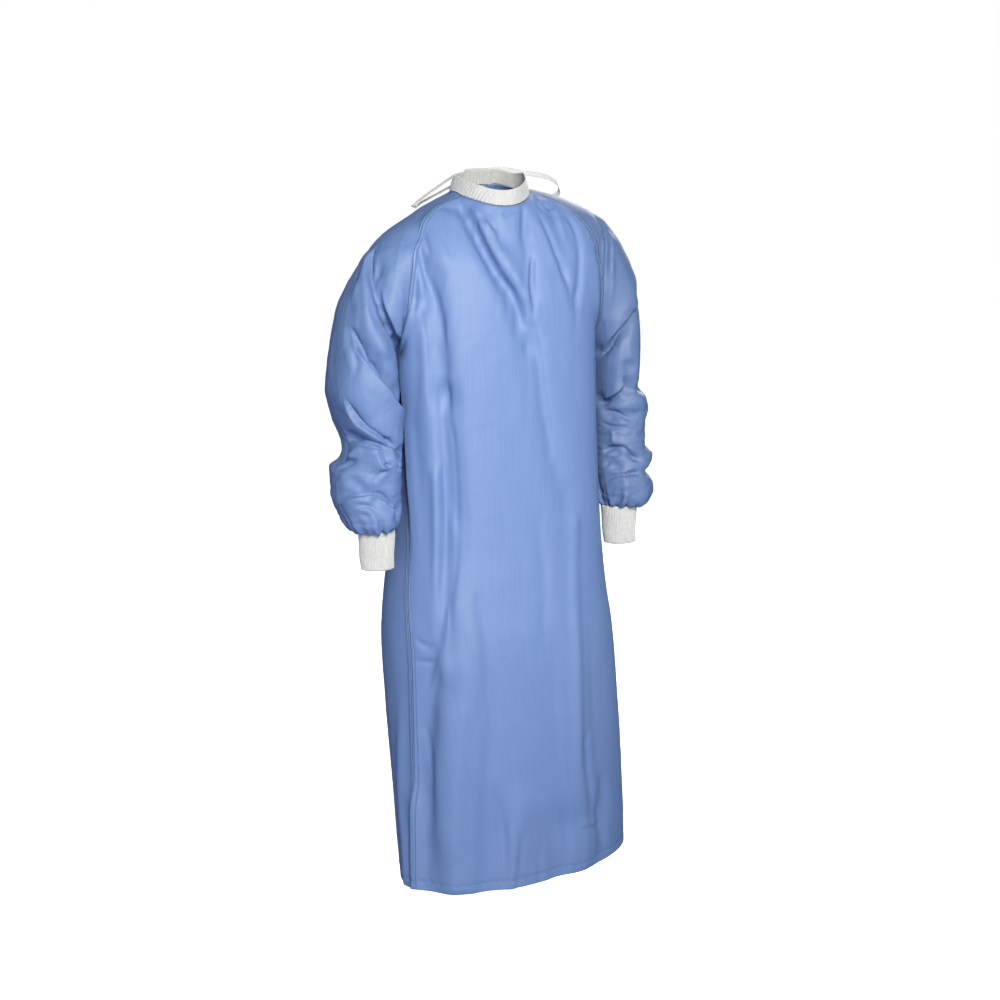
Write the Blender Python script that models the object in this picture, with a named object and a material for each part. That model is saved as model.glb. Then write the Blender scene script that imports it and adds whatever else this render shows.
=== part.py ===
"""Surgical gown in its worn, hollow form: raglan sleeves, knit cuffs, stand-up neckband and ties.

Metres, +Z up, the front faces -Y, the wearer's left is +X. The origin is on the neck's axis at the
height of the shoulder seams' neck ends, where the wearer carries the gown.
"""
import math

import bmesh
import bpy
import numpy as np

# ---------------------------------------------------------------- driving sizes
WALL = 0.002                 # thickness of every cloth wall
SEAM_GAP = 0.0003            # clear gap between neighbouring pieces
HEM_Z = -1.158               # gown length below the shoulder's neck end
UNDERARM = (0.172, -0.006, -0.262)
CUFF_Z = -0.541              # where the sleeve ends and the knit cuff starts
CUFF_LENGTH = 0.065
CUFF_TAPER = 0.88            # the cuff's lower end, as a share of its upper end
SHOULDER_LEAN = 0.036        # the left shoulder stands higher: rise per metre of width
LEAN_FULL_Z = -0.45          # the lean is whole above this height
LEAN_NONE_Z = -0.80          # and gone below this one
LAP_OUT = 0.0045             # how far the over layer stands off the back's own surface
BAND_HEIGHT = 0.025          # stand-up neckband
BAND_LEAN = 0.22             # how far it leans in, as a share of its height
BAND_CLEAR = 0.0007          # gap under the neckband
NECK_AXIS_Y = -0.010
TAPE_WIDTH = 0.009
TAPE_THICK = 0.0012
TAPE_STEPS = 20              # stretches along each loop and tail

# ---------------------------------------------------------------- grid of the skin
YOKE_ROWS = 12               # rows from the neckline to the underarm, shared by every panel
BODY_ROWS = 22               # rows from the underarm to the hem
ARM_ROWS = 22                # rows from the underarm to the cuff
FRONT_COLUMNS = 28
BACK_COLUMNS = 16
BACK_LAP_COLUMNS = 3         # each back panel passes the centre by this many columns
SLEEVE_COLUMNS = 20
CUFF_ROWS = 3

# ---------------------------------------------------------------- tables, a row for each section
# Seams from the neckline (down 0) to the underarm (down 1): distance from the middle, depth, height.
SEAM_COLUMNS = ("down", "x", "y", "z")
FRONT_SEAM = (
    (0.00, 0.060, -0.024, -0.009),
    (0.13, 0.103, -0.030, -0.023),
    (0.23, 0.129, -0.041, -0.041),
    (0.34, 0.150, -0.056, -0.068),
    (0.45, 0.162, -0.067, -0.100),
    (0.57, 0.168, -0.072, -0.140),
    (0.69, 0.171, -0.069, -0.180),
    (0.82, 0.1725, -0.052, -0.225),
    (0.91, 0.1722, -0.031, -0.250),
    (1.00, *UNDERARM),
)
BACK_SEAM = (
    (0.00, 0.058, 0.034, -0.004),
    (0.13, 0.098, 0.058, -0.028),
    (0.23, 0.124, 0.072, -0.055),
    (0.34, 0.145, 0.080, -0.090),
    (0.45, 0.157, 0.083, -0.125),
    (0.57, 0.164, 0.080, -0.162),
    (0.69, 0.169, 0.069, -0.197),
    (0.82, 0.172, 0.046, -0.232),
    (0.91, 0.1725, 0.020, -0.252),
    (1.00, *UNDERARM),
)
# The middle line of the yoke and how each row rounds: turn of the row's end, squareness, and the
# row's half width before its ends flare out to the seam.
MIDDLE_COLUMNS = ("down", "y", "z", "round", "square", "wide")
FRONT_MIDDLE = (
    (0.00, -0.077, -0.027, 70, 2.0, 0.060),
    (0.13, -0.088, -0.052, 50, 2.0, 0.103),
    (0.23, -0.097, -0.076, 48, 2.0, 0.129),
    (0.34, -0.108, -0.104, 52, 2.1, 0.150),
    (0.45, -0.117, -0.134, 58, 2.2, 0.162),
    (0.57, -0.124, -0.167, 65, 2.3, 0.168),
    (0.69, -0.128, -0.200, 73, 2.6, 0.1700),
    (0.82, -0.1305, -0.234, 82, 2.8, 0.1695),
    (0.91, -0.1315, -0.251, 86, 2.9, 0.1690),
    (1.00, -0.1325, -0.268, 90, 2.9, 0.1680),
)
BACK_MIDDLE = (
    (0.00, 0.058, 0.004, 62, 2.0, 0.058),
    (0.13, 0.075, -0.030, 48, 2.0, 0.098),
    (0.23, 0.089, -0.062, 46, 2.0, 0.124),
    (0.34, 0.101, -0.097, 50, 2.1, 0.145),
    (0.45, 0.110, -0.131, 56, 2.2, 0.157),
    (0.57, 0.116, -0.166, 64, 2.3, 0.164),
    (0.69, 0.119, -0.200, 73, 2.6, 0.1685),
    (0.82, 0.120, -0.234, 82, 2.8, 0.1685),
    (0.91, 0.1205, -0.251, 86, 2.9, 0.1685),
    (1.00, 0.1205, -0.268, 90, 2.9, 0.1680),
)
# The body below the underarm: height at the side seam and at the middle, centre, half sizes,
# turn about Z, squareness, how far round from the front middle the side seam lies, and the flare
# of the side seam into the underarm.
BODY_COLUMNS = (
    "down", "side_z", "mid_z", "cx", "cy", "wide", "deep", "turn", "square", "seam", "flare",
)
BODY = (
    (0.000, -0.262, -0.268, 0.0000, -0.006, 0.1680, 0.1265, 0.0, 2.9, 90, 0.0040),
    (0.006, -0.2655, -0.275, 0.0005, -0.006, 0.1680, 0.1265, 0.0, 2.9, 90, 0.0012),
    (0.018, -0.275, -0.286, 0.0015, -0.006, 0.1680, 0.1265, 0.0, 2.9, 89, 0.0),
    (0.060, -0.315, -0.322, 0.0040, -0.0065, 0.1680, 0.127, 0.0, 2.85, 87, 0.0),
    (0.180, -0.425, -0.425, 0.0055, -0.008, 0.1690, 0.128, 0.0, 2.8, 83, 0.0),
    (0.320, -0.550, -0.550, 0.0055, -0.010, 0.1755, 0.131, 0.0, 2.65, 76, 0.0),
    (0.430, -0.650, -0.650, 0.0040, -0.012, 0.1880, 0.137, 0.0, 2.45, 70, 0.0),
    (0.540, -0.750, -0.750, 0.0085, -0.013, 0.2020, 0.144, 2.0, 2.3, 66, 0.0),
    (0.690, -0.880, -0.880, 0.0190, -0.010, 0.2080, 0.144, 6.5, 2.25, 72, 0.0),
    (0.830, -1.000, -1.000, 0.0310, -0.006, 0.2170, 0.140, 12.5, 2.15, 79, 0.0),
    (1.000, HEM_Z, HEM_Z, 0.0450, -0.002, 0.2340, 0.133, 20.0, 2.05, 87, 0.0),
)
# Sleeve sections: the crown is the outermost line; the ring hangs inwards from it. "out" and
# "deep" are the ring's half sizes across and front to back, tilt is the ring's slope in degrees.
CROWN_COLUMNS = ("down", "x", "y", "z", "out", "deep", "tilt", "square")
CROWN_RIGHT = (
    (0.00, 0.064, 0.004, -0.003, 0.054, 0.053, 45, 2.0),
    (0.13, 0.102, 0.010, -0.020, 0.050, 0.060, 60, 2.0),
    (0.23, 0.132, 0.012, -0.037, 0.058, 0.068, 56, 2.0),
    (0.34, 0.168, 0.012, -0.058, 0.066, 0.074, 50, 2.0),
    (0.45, 0.196, 0.010, -0.083, 0.070, 0.078, 42, 2.1),
    (0.57, 0.222, 0.008, -0.115, 0.072, 0.080, 32, 2.2),
    (0.69, 0.248, 0.003, -0.155, 0.069, 0.080, 22, 2.3),
    (0.82, 0.269, -0.003, -0.203, 0.060, 0.079, 11, 2.4),
    (0.91, 0.277, -0.006, -0.232, 0.055, 0.079, 5, 2.4),
    (1.00, 0.283, -0.008, -0.262, 0.0535, 0.080, 0, 2.4),
)
CROWN_LEFT = (
    (0.00, 0.064, 0.004, -0.003, 0.054, 0.053, 45, 2.0),
    (0.13, 0.106, 0.010, -0.013, 0.050, 0.060, 60, 2.0),
    (0.23, 0.142, 0.010, -0.026, 0.060, 0.068, 56, 2.0),
    (0.34, 0.181, 0.009, -0.045, 0.068, 0.074, 50, 2.0),
    (0.45, 0.211, 0.007, -0.068, 0.072, 0.078, 42, 2.1),
    (0.57, 0.232, 0.005, -0.102, 0.074, 0.080, 32, 2.2),
    (0.69, 0.250, 0.002, -0.143, 0.067, 0.080, 22, 2.3),
    (0.82, 0.261, -0.003, -0.190, 0.056, 0.079, 11, 2.4),
    (0.91, 0.263, -0.006, -0.226, 0.047, 0.079, 5, 2.4),
    (1.00, 0.261, -0.008, -0.262, 0.0415, 0.080, 0, 2.4),
)
# The hanging part of each sleeve, from the underarm (0) to the cuff (1): outer and inner distance
# from the middle, depth of the centre, half depth, height outside and inside, squareness, and
# the flare of the underarm seam into the underarm.
ARM_COLUMNS = (
    "down", "outer", "inner", "y", "deep", "outer_z", "inner_z", "square", "flare",
)
ARM_RIGHT = (
    (0.00, 0.283, 0.1760, -0.008, 0.080, -0.262, -0.262, 2.4, 0.0040),
    (0.02, 0.2835, 0.1762, -0.008, 0.080, -0.268, -0.2655, 2.4, 0.0012),
    (0.06, 0.284, 0.1762, -0.007, 0.080, -0.280, -0.276, 2.4, 0.0),
    (0.20, 0.282, 0.1710, -0.005, 0.082, -0.318, -0.318, 2.5, 0.0),
    (0.36, 0.272, 0.1695, -0.006, 0.081, -0.361, -0.361, 2.5, 0.0),
    (0.50, 0.260, 0.1700, -0.012, 0.077, -0.401, -0.401, 2.45, 0.0),
    (0.58, 0.264, 0.1710, -0.016, 0.073, -0.424, -0.424, 2.35, 0.0),
    (0.64, 0.283, 0.1715, -0.018, 0.071, -0.440, -0.440, 2.3, 0.0),
    (0.70, 0.284, 0.1725, -0.021, 0.070, -0.459, -0.457, 2.3, 0.0),
    (0.78, 0.284, 0.1745, -0.025, 0.069, -0.483, -0.480, 2.3, 0.0),
    (0.87, 0.277, 0.1770, -0.031, 0.066, -0.511, -0.506, 2.3, 0.0),
    (0.93, 0.269, 0.1810, -0.038, 0.058, -0.532, -0.524, 2.2, 0.0),
    (0.98, 0.257, 0.1860, -0.043, 0.046, -0.544, -0.538, 2.1, 0.0),
    (1.00, 0.250, 0.1880, -0.045, 0.0315, CUFF_Z, CUFF_Z, 2.0, 0.0),
)
ARM_LEFT = (
    (0.00, 0.261, 0.1780, -0.008, 0.080, -0.262, -0.262, 2.4, 0.0060),
    (0.02, 0.261, 0.1780, -0.008, 0.080, -0.268, -0.2655, 2.4, 0.0015),
    (0.06, 0.260, 0.1790, -0.006, 0.080, -0.280, -0.276, 2.4, 0.0),
    (0.20, 0.257, 0.1800, -0.003, 0.081, -0.318, -0.318, 2.4, 0.0),
    (0.28, 0.257, 0.1800, -0.001, 0.080, -0.340, -0.340, 2.4, 0.0),
    (0.35, 0.272, 0.1800, -0.001, 0.079, -0.359, -0.359, 2.3, 0.0),
    (0.43, 0.280, 0.1800, -0.003, 0.077, -0.382, -0.382, 2.3, 0.0),
    (0.56, 0.270, 0.1800, -0.008, 0.074, -0.421, -0.421, 2.3, 0.0),
    (0.66, 0.274, 0.1800, -0.015, 0.072, -0.451, -0.449, 2.3, 0.0),
    (0.71, 0.286, 0.1800, -0.018, 0.070, -0.465, -0.463, 2.3, 0.0),
    (0.78, 0.270, 0.1810, -0.024, 0.068, -0.486, -0.482, 2.3, 0.0),
    (0.86, 0.279, 0.1825, -0.030, 0.066, -0.510, -0.504, 2.3, 0.0),
    (0.93, 0.271, 0.1850, -0.038, 0.058, -0.532, -0.524, 2.2, 0.0),
    (0.98, 0.259, 0.1880, -0.043, 0.046, -0.544, -0.538, 2.1, 0.0),
    (1.00, 0.250, 0.1880, -0.045, 0.0315, CUFF_Z, CUFF_Z, 2.0, 0.0),
)
# The largest folds. Each runs on the face that looks towards -Y (front) or +Y (back), through the
# points (x, z); depth is negative for a trough.
FOLD_COLUMNS = ("face", "width", "depth", "path")
FOLDS = (
    # from the right end of the neckline across the chest
    ("front", 0.013, -0.009, ((-0.066, -0.032), (-0.046, -0.100), (-0.012, -0.168), (0.016, -0.255))),
    ("front", 0.014, 0.006, ((-0.040, -0.050), (-0.022, -0.100), (0.010, -0.160))),
    ("front", 0.011, -0.005, ((-0.034, -0.044), (-0.017, -0.078))),
    ("front", 0.012, -0.006, ((0.035, -0.022), (0.028, -0.090), (0.020, -0.160))),
    ("front", 0.014, -0.005, ((0.094, -0.045), (0.087, -0.134))),
    ("front", 0.013, -0.004, ((0.120, -0.087), (0.113, -0.185))),
    # from the right raglan seam down the whole front
    ("front", 0.015, -0.008, ((-0.154, -0.083), (-0.137, -0.142), (-0.124, -0.225), (-0.119, -0.340))),
    ("front", 0.019, -0.009, ((-0.119, -0.340), (-0.117, -0.560), (-0.128, -0.740))),
    ("front", 0.014, 0.006, ((-0.108, -0.560), (-0.110, -0.680), (-0.131, -0.770))),
    ("front", 0.013, -0.006, ((-0.162, -0.110), (-0.166, -0.180))),
    ("front", 0.026, 0.006, ((-0.128, -0.830), (-0.126, -1.060))),
    # across the left half
    ("front", 0.018, -0.005, ((0.022, -0.263), (0.037, -0.366), (0.056, -0.442), (0.081, -0.510))),
    ("front", 0.016, -0.004, ((0.101, -1.075), (0.161, -1.088))),
    ("front", 0.014, -0.005, ((0.166, -1.000), (0.167, -1.090))),
    ("front", 0.024, 0.006, ((-0.010, -1.000), (-0.020, -1.158))),
    ("front", 0.022, -0.005, ((-0.052, -1.040), (-0.056, -1.158))),
    ("front", 0.024, -0.005, ((0.065, -1.060), (0.070, -1.158))),
    ("front", 0.022, 0.008, ((-0.176, -1.020), (-0.188, -1.158))),
    # right sleeve
    ("front", 0.013, -0.010, ((-0.216, -0.139), (-0.213, -0.192), (-0.193, -0.231), (-0.172, -0.262))),
    ("front", 0.012, 0.006, ((-0.238, -0.150), (-0.236, -0.205), (-0.212, -0.252))),
    ("front", 0.012, -0.008, ((-0.256, -0.225), (-0.231, -0.286), (-0.194, -0.328))),
    ("front", 0.010, -0.008, ((-0.262, -0.400), (-0.220, -0.406), (-0.186, -0.420))),
    ("front", 0.010, 0.006, ((-0.270, -0.424), (-0.225, -0.432), (-0.190, -0.445))),
    ("front", 0.010, -0.004, ((-0.262, -0.446), (-0.240, -0.452))),
    ("front", 0.010, -0.007, ((-0.257, -0.470), (-0.226, -0.493), (-0.190, -0.512))),
    # left sleeve
    ("front", 0.011, -0.007, ((0.196, -0.060), (0.191, -0.078), (0.186, -0.112))),
    ("front", 0.011, -0.008, ((0.253, -0.188), (0.224, -0.202), (0.205, -0.226), (0.184, -0.268))),
    ("front", 0.010, -0.006, ((0.212, -0.303), (0.213, -0.330))),
    ("front", 0.009, -0.007, ((0.250, -0.336), (0.215, -0.332), (0.187, -0.352))),
    ("front", 0.009, -0.006, ((0.190, -0.378), (0.235, -0.382), (0.268, -0.392))),
    ("front", 0.009, -0.007, ((0.192, -0.430), (0.235, -0.447), (0.268, -0.440))),
    ("front", 0.009, -0.006, ((0.194, -0.466), (0.230, -0.478), (0.266, -0.476))),
    # the back and the backs of the sleeves
    ("back", 0.020, -0.006, ((-0.150, -0.120), (-0.100, -0.230), (-0.080, -0.400))),
    ("back", 0.020, -0.006, ((0.150, -0.120), (0.110, -0.240), (0.090, -0.380))),
    ("back", 0.026, -0.009, ((-0.125, -0.480), (-0.115, -0.760), (-0.090, -1.158))),
    ("back", 0.026, -0.009, ((0.120, -0.480), (0.140, -0.760), (0.180, -1.158))),
    ("back", 0.026, 0.006, ((0.060, -0.600), (0.090, -1.158))),
    ("back", 0.013, -0.007, ((-0.265, -0.300), (-0.215, -0.335))),
    ("back", 0.012, -0.006, ((-0.270, -0.425), (-0.200, -0.445))),
    ("back", 0.012, -0.006, ((-0.265, -0.480), (-0.195, -0.500))),
    ("back", 0.013, -0.007, ((0.250, -0.300), (0.205, -0.330))),
    ("back", 0.012, -0.006, ((0.270, -0.404), (0.200, -0.420))),
    ("back", 0.012, -0.006, ((0.272, -0.455), (0.200, -0.470))),
)
# The bows: each tape's middle line from the knot, as (sideways, outwards, downwards). Sideways is
# towards the wearer's left.
NECK_LOOP_LEFT = (
    (0.0073, -0.0022, -0.0018), (0.040, -0.004, -0.008), (0.077, -0.012, -0.001),
    (0.104, -0.017, 0.004), (0.126, -0.018, 0.010), (0.140, -0.018, 0.019),
    (0.147, -0.015, 0.031), (0.144, -0.007, 0.041), (0.128, 0.002, 0.042),
    (0.100, 0.010, 0.036), (0.060, 0.015, 0.022), (0.024, 0.010, 0.008), (0.0073, 0.0022, 0.0018),
)
NECK_LOOP_RIGHT = (
    (-0.0073, 0.000, -0.003), (-0.030, -0.002, -0.003), (-0.053, -0.009, 0.007),
    (-0.074, -0.014, 0.018), (-0.096, -0.016, 0.031), (-0.110, -0.013, 0.042),
    (-0.113, -0.004, 0.049), (-0.100, 0.006, 0.044), (-0.070, 0.014, 0.032),
    (-0.030, 0.013, 0.014), (-0.0073, 0.000, 0.003),
)
NECK_TAIL_LEFT = (
    (0.0020, 0.0018, 0.0068), (0.016, 0.018, 0.045), (0.026, 0.039, 0.095), (0.030, 0.054, 0.145),
    (0.028, 0.061, 0.180),
)
NECK_TAIL_RIGHT = (
    (-0.0020, -0.0018, 0.0075), (-0.014, 0.018, 0.045), (-0.022, 0.039, 0.095),
    (-0.027, 0.053, 0.140), (-0.026, 0.057, 0.160),
)
WAIST_LOOP_LEFT = (
    (0.0073, -0.002, -0.002), (0.030, 0.004, -0.010), (0.060, 0.005, -0.002), (0.080, 0.003, 0.020),
    (0.076, 0.004, 0.042), (0.052, 0.007, 0.038), (0.026, 0.008, 0.018), (0.0073, 0.002, 0.002),
)
WAIST_LOOP_RIGHT = (
    (-0.0073, -0.002, -0.002), (-0.028, 0.004, -0.008), (-0.055, 0.006, 0.003),
    (-0.070, 0.004, 0.028), (-0.062, 0.005, 0.048), (-0.042, 0.007, 0.040),
    (-0.022, 0.008, 0.020), (-0.0073, 0.002, 0.002),
)
WAIST_TAIL_LEFT = (
    (0.0020, 0.0018, 0.0068), (0.014, 0.004, 0.045), (0.020, 0.006, 0.110), (0.024, 0.007, 0.190),
)
WAIST_TAIL_RIGHT = (
    (-0.0020, -0.0018, 0.0068), (-0.013, 0.004, 0.040), (-0.021, 0.006, 0.100), (-0.019, 0.007, 0.165),
)
# The direction of each loop's width, left then right, in the same terms.
NECK_STANDS = ((0.0, 0.6, -0.8), (-0.35, 0.94, 0.0))
WAIST_STANDS = ((0.0, 0.5, -0.86), (0.0, 0.5, -0.86))
KNOT_SIZE = (0.0140, 0.0110, 0.0130)
KNOT_ROUND = 0.003
KNOT_CLEAR = 0.0006          # gap between a knot and the runs under it
TIE_CLEAR = 0.0005           # gap under a tape that is sewn on
STEP_UP = 0.0012             # extra rise where a run climbs on to the over layer
RUN_END = 0.05               # each run stops this share of a column from the knot's middle
RUN_COLUMNS = 4.5            # length of the left run, in columns
NECK_KNOT_COLUMN = 8.0       # where the knots sit, counted in the back's own columns
WAIST_KNOT_COLUMN = 5.7
WAIST_TIE_ROW = 17           # the skin's row that the waist tie follows

NECK_HOLD = (0.1, 0.6)       # share of the folds left in the first rows, which the band holds smooth
GATHER_COUNT = 10            # soft gathers round each sleeve end
GATHER_DEPTH = 0.0022
GATHER_START = 0.80          # share of the hanging sleeve where they begin


# ---------------------------------------------------------------- reading the tables
def follow(table, columns, name, at):
    """Value of the named column at the places `at`, on a smooth curve that never overshoots."""
    data = np.array(table, dtype=float)
    keys = data[:, 0]
    values = data[:, columns.index(name)]
    steps = np.diff(keys)
    slopes = np.diff(values) / steps
    ends = np.zeros(len(keys))
    ends[0] = slopes[0]
    ends[-1] = slopes[-1]
    for k in range(1, len(keys) - 1):
        before = slopes[k - 1]
        after = slopes[k]
        if before * after > 0.0:
            first = 2.0 * steps[k] + steps[k - 1]
            second = steps[k] + 2.0 * steps[k - 1]
            ends[k] = (first + second) / (first / before + second / after)
    at = np.clip(np.asarray(at, dtype=float), keys[0], keys[-1])
    span = np.clip(np.searchsorted(keys, at, side="right") - 1, 0, len(steps) - 1)
    t = (at - keys[span]) / steps[span]
    return (
        (1 + 2 * t) * (1 - t) ** 2 * values[span]
        + t * (1 - t) ** 2 * steps[span] * ends[span]
        + t ** 2 * (3 - 2 * t) * values[span + 1]
        + t ** 2 * (t - 1) * steps[span] * ends[span + 1]
    )


def smooth(value):
    """Soft step from 0 to 1."""
    value = np.clip(value, 0.0, 1.0)
    return value * value * (3.0 - 2.0 * value)


def power(value, exponent):
    """Signed power, for squared-off rounds."""
    return np.sign(value) * np.abs(value) ** exponent


def even(points, count):
    """The same line, resampled to count + 1 points an equal length apart."""
    lengths = np.linalg.norm(np.diff(points, axis=0), axis=1)
    run = np.concatenate(([0.0], np.cumsum(lengths)))
    wanted = np.linspace(0.0, run[-1], count + 1)
    return np.stack([np.interp(wanted, run, points[:, axis]) for axis in range(3)], axis=1)


def lean(points):
    """Raises the left shoulder and lowers the right one, fading out at the hips."""
    share = smooth((points[..., 2] - LEAN_NONE_Z) / (LEAN_FULL_Z - LEAN_NONE_Z))
    points[..., 2] += SHOULDER_LEAN * points[..., 0] * share
    return points


# ---------------------------------------------------------------- rows of the skin
FINE = 241                   # samples on a row before it is evened out
FLARE_POWER = 9.0            # keeps a flare within the last part of a row
SOFT_REACH = {"body": 8, "sleeve": 4}    # rows either side of the underarm that are evened out
SOFT_PASSES = 24


def flared(across, wide, seam_x):
    """Distances from the middle along a row whose last bit flares out to the seam."""
    return wide * across + (seam_x - wide) * power(across, FLARE_POWER)


def yoke_rows(seam, middle, side):
    """Rows of the front (side -1) or the back (side 1) between the raglan seams."""
    downs = np.linspace(0.0, 1.0, YOKE_ROWS + 1)
    columns = FRONT_COLUMNS if side < 0 else BACK_COLUMNS
    seam_x, seam_y, seam_z = (follow(seam, SEAM_COLUMNS, n, downs) for n in ("x", "y", "z"))
    mid_y, mid_z, rounds, squares, wides = (
        follow(middle, MIDDLE_COLUMNS, n, downs) for n in MIDDLE_COLUMNS[1:]
    )
    rows = []
    for k in range(YOKE_ROWS + 1):
        end = math.radians(rounds[k])
        bend = 2.0 / squares[k]
        angle = np.linspace(-end, end, FINE)
        across = power(np.sin(angle), bend) / power(math.sin(end), bend)
        depth = (1.0 - power(np.cos(angle), bend)) / (1.0 - power(math.cos(end), bend))
        line = np.stack([
            flared(across, wides[k], seam_x[k]),
            mid_y[k] + (seam_y[k] - mid_y[k]) * depth,
            mid_z[k] + (seam_z[k] - mid_z[k]) * across ** 2,
        ], axis=1)
        rows.append(even(line, columns))
    return rows


def body_rows(side):
    """Rows of the front (side -1) or the back (side 1) below the underarm."""
    downs = body_downs()
    columns = FRONT_COLUMNS if side < 0 else BACK_COLUMNS
    get = {name: follow(BODY, BODY_COLUMNS, name, downs) for name in BODY_COLUMNS[1:]}
    rows = []
    for k in range(1, len(downs)):
        seam = math.radians(get["seam"][k])
        end = seam if side < 0 else math.pi - seam
        bend = 2.0 / get["square"][k]
        angle = np.linspace(-end, end, FINE)
        across = power(np.sin(angle), bend)
        x = flared(across, get["wide"][k], get["wide"][k] + get["flare"][k])
        y = get["cy"][k] + side * get["deep"][k] * power(np.cos(angle), bend)
        turn = math.radians(get["turn"][k])
        line = np.stack([
            get["cx"][k] + x * math.cos(turn) - y * math.sin(turn),
            x * math.sin(turn) + y * math.cos(turn),
            get["mid_z"][k] + (get["side_z"][k] - get["mid_z"][k]) * across ** 2,
        ], axis=1)
        rows.append(even(line, columns))
    return rows


def body_downs():
    """Where the rows lie: close together at the underarm, evenly spaced below."""
    first = [row[0] for row in BODY[:3]]
    return np.concatenate((first, np.linspace(first[-1], 1.0, BODY_ROWS - 1)[1:]))


def arm_downs():
    """The same for the hanging part of a sleeve, and closer together at the cuff."""
    first = [row[0] for row in ARM_RIGHT[:3]]
    last = [row[0] for row in ARM_RIGHT[-3:]]
    middle = np.linspace(first[-1], last[0], ARM_ROWS - 3)
    return np.concatenate((first[:-1], middle, last[1:]))


def crown_rows(crown):
    """Rows of one sleeve above the underarm, from its front seam over the crown to its back one."""
    downs = np.linspace(0.0, 1.0, YOKE_ROWS + 1)
    ring = {name: follow(crown, CROWN_COLUMNS, name, downs) for name in CROWN_COLUMNS[1:]}
    seams = [
        np.stack([follow(seam, SEAM_COLUMNS, n, downs) for n in ("x", "y", "z")], axis=1)
        for seam in (FRONT_SEAM, BACK_SEAM)
    ]
    depth_axis = np.array([0.0, 1.0, 0.0])
    place = np.linspace(0.0, 1.0, FINE)
    rows = []
    for k in range(YOKE_ROWS + 1):
        tilt = math.radians(ring["tilt"][k])
        out_axis = np.array([math.cos(tilt), 0.0, math.sin(tilt)])
        out, deep, bend = ring["out"][k], ring["deep"][k], 2.0 / ring["square"][k]
        centre = np.array([ring["x"][k], ring["y"][k], ring["z"][k]]) - out * out_axis
        ends = []
        for seam in seams:
            reach = power((seam[k] - centre) @ out_axis / out, 1.0 / bend)
            sideways = power((seam[k] - centre) @ depth_axis / deep, 1.0 / bend)
            ends.append(math.atan2(sideways, reach))
        start = ends[0] if ends[0] < 0.0 else ends[0] - 2.0 * math.pi
        stop = ends[1] if ends[1] > 0.0 else ends[1] + 2.0 * math.pi
        if k == YOKE_ROWS:
            start, stop = -math.pi, math.pi
        angle = np.linspace(start, stop, FINE)
        line = (
            centre
            + out * power(np.cos(angle), bend)[:, None] * out_axis
            + deep * power(np.sin(angle), bend)[:, None] * depth_axis
        )
        front_share = np.clip(1.0 - 2.0 * place, 0.0, 1.0)[:, None] ** 3
        back_share = np.clip(2.0 * place - 1.0, 0.0, 1.0)[:, None] ** 3
        line = line + front_share * (seams[0][k] - line[0]) + back_share * (seams[1][k] - line[-1])
        rows.append(even(line, SLEEVE_COLUMNS))
    return rows


def arm_rows(arm):
    """Rows of one sleeve below the underarm: closed rings that start and end on its seam."""
    downs = arm_downs()
    get = {name: follow(arm, ARM_COLUMNS, name, downs) for name in ARM_COLUMNS[1:]}
    angle = np.linspace(-math.pi, math.pi, FINE)
    rows = []
    for k in range(1, len(downs)):
        bend = 2.0 / get["square"][k]
        half = (get["outer"][k] - get["inner"][k]) / 2.0
        share = (np.cos(angle) + 1.0) / 2.0
        at_seam = np.abs(angle / math.pi) ** FLARE_POWER
        line = np.stack([
            get["inner"][k] + half * (1.0 + power(np.cos(angle), bend)) - get["flare"][k] * at_seam,
            get["y"][k] + get["deep"][k] * power(np.sin(angle), bend),
            get["inner_z"][k] + (get["outer_z"][k] - get["inner_z"][k]) * share,
        ], axis=1)
        rows.append(even(line, SLEEVE_COLUMNS))
    return rows


def sleeve_grid(crown, arm, side):
    """One whole sleeve, on the wearer's right (side -1) or left (side 1)."""
    grid = np.array(crown_rows(crown) + arm_rows(arm))
    grid[..., 0] *= side
    return gather(grid)


# ---------------------------------------------------------------- the whole skin
def face_corners(columns, rows):
    """Grid squares as index quadruples of a rows x columns grid of points."""
    corners = []
    for i in range(rows - 1):
        for j in range(columns - 1):
            a = i * columns + j
            corners.append((a, a + columns, a + columns + 1, a + 1))
    return corners


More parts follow.
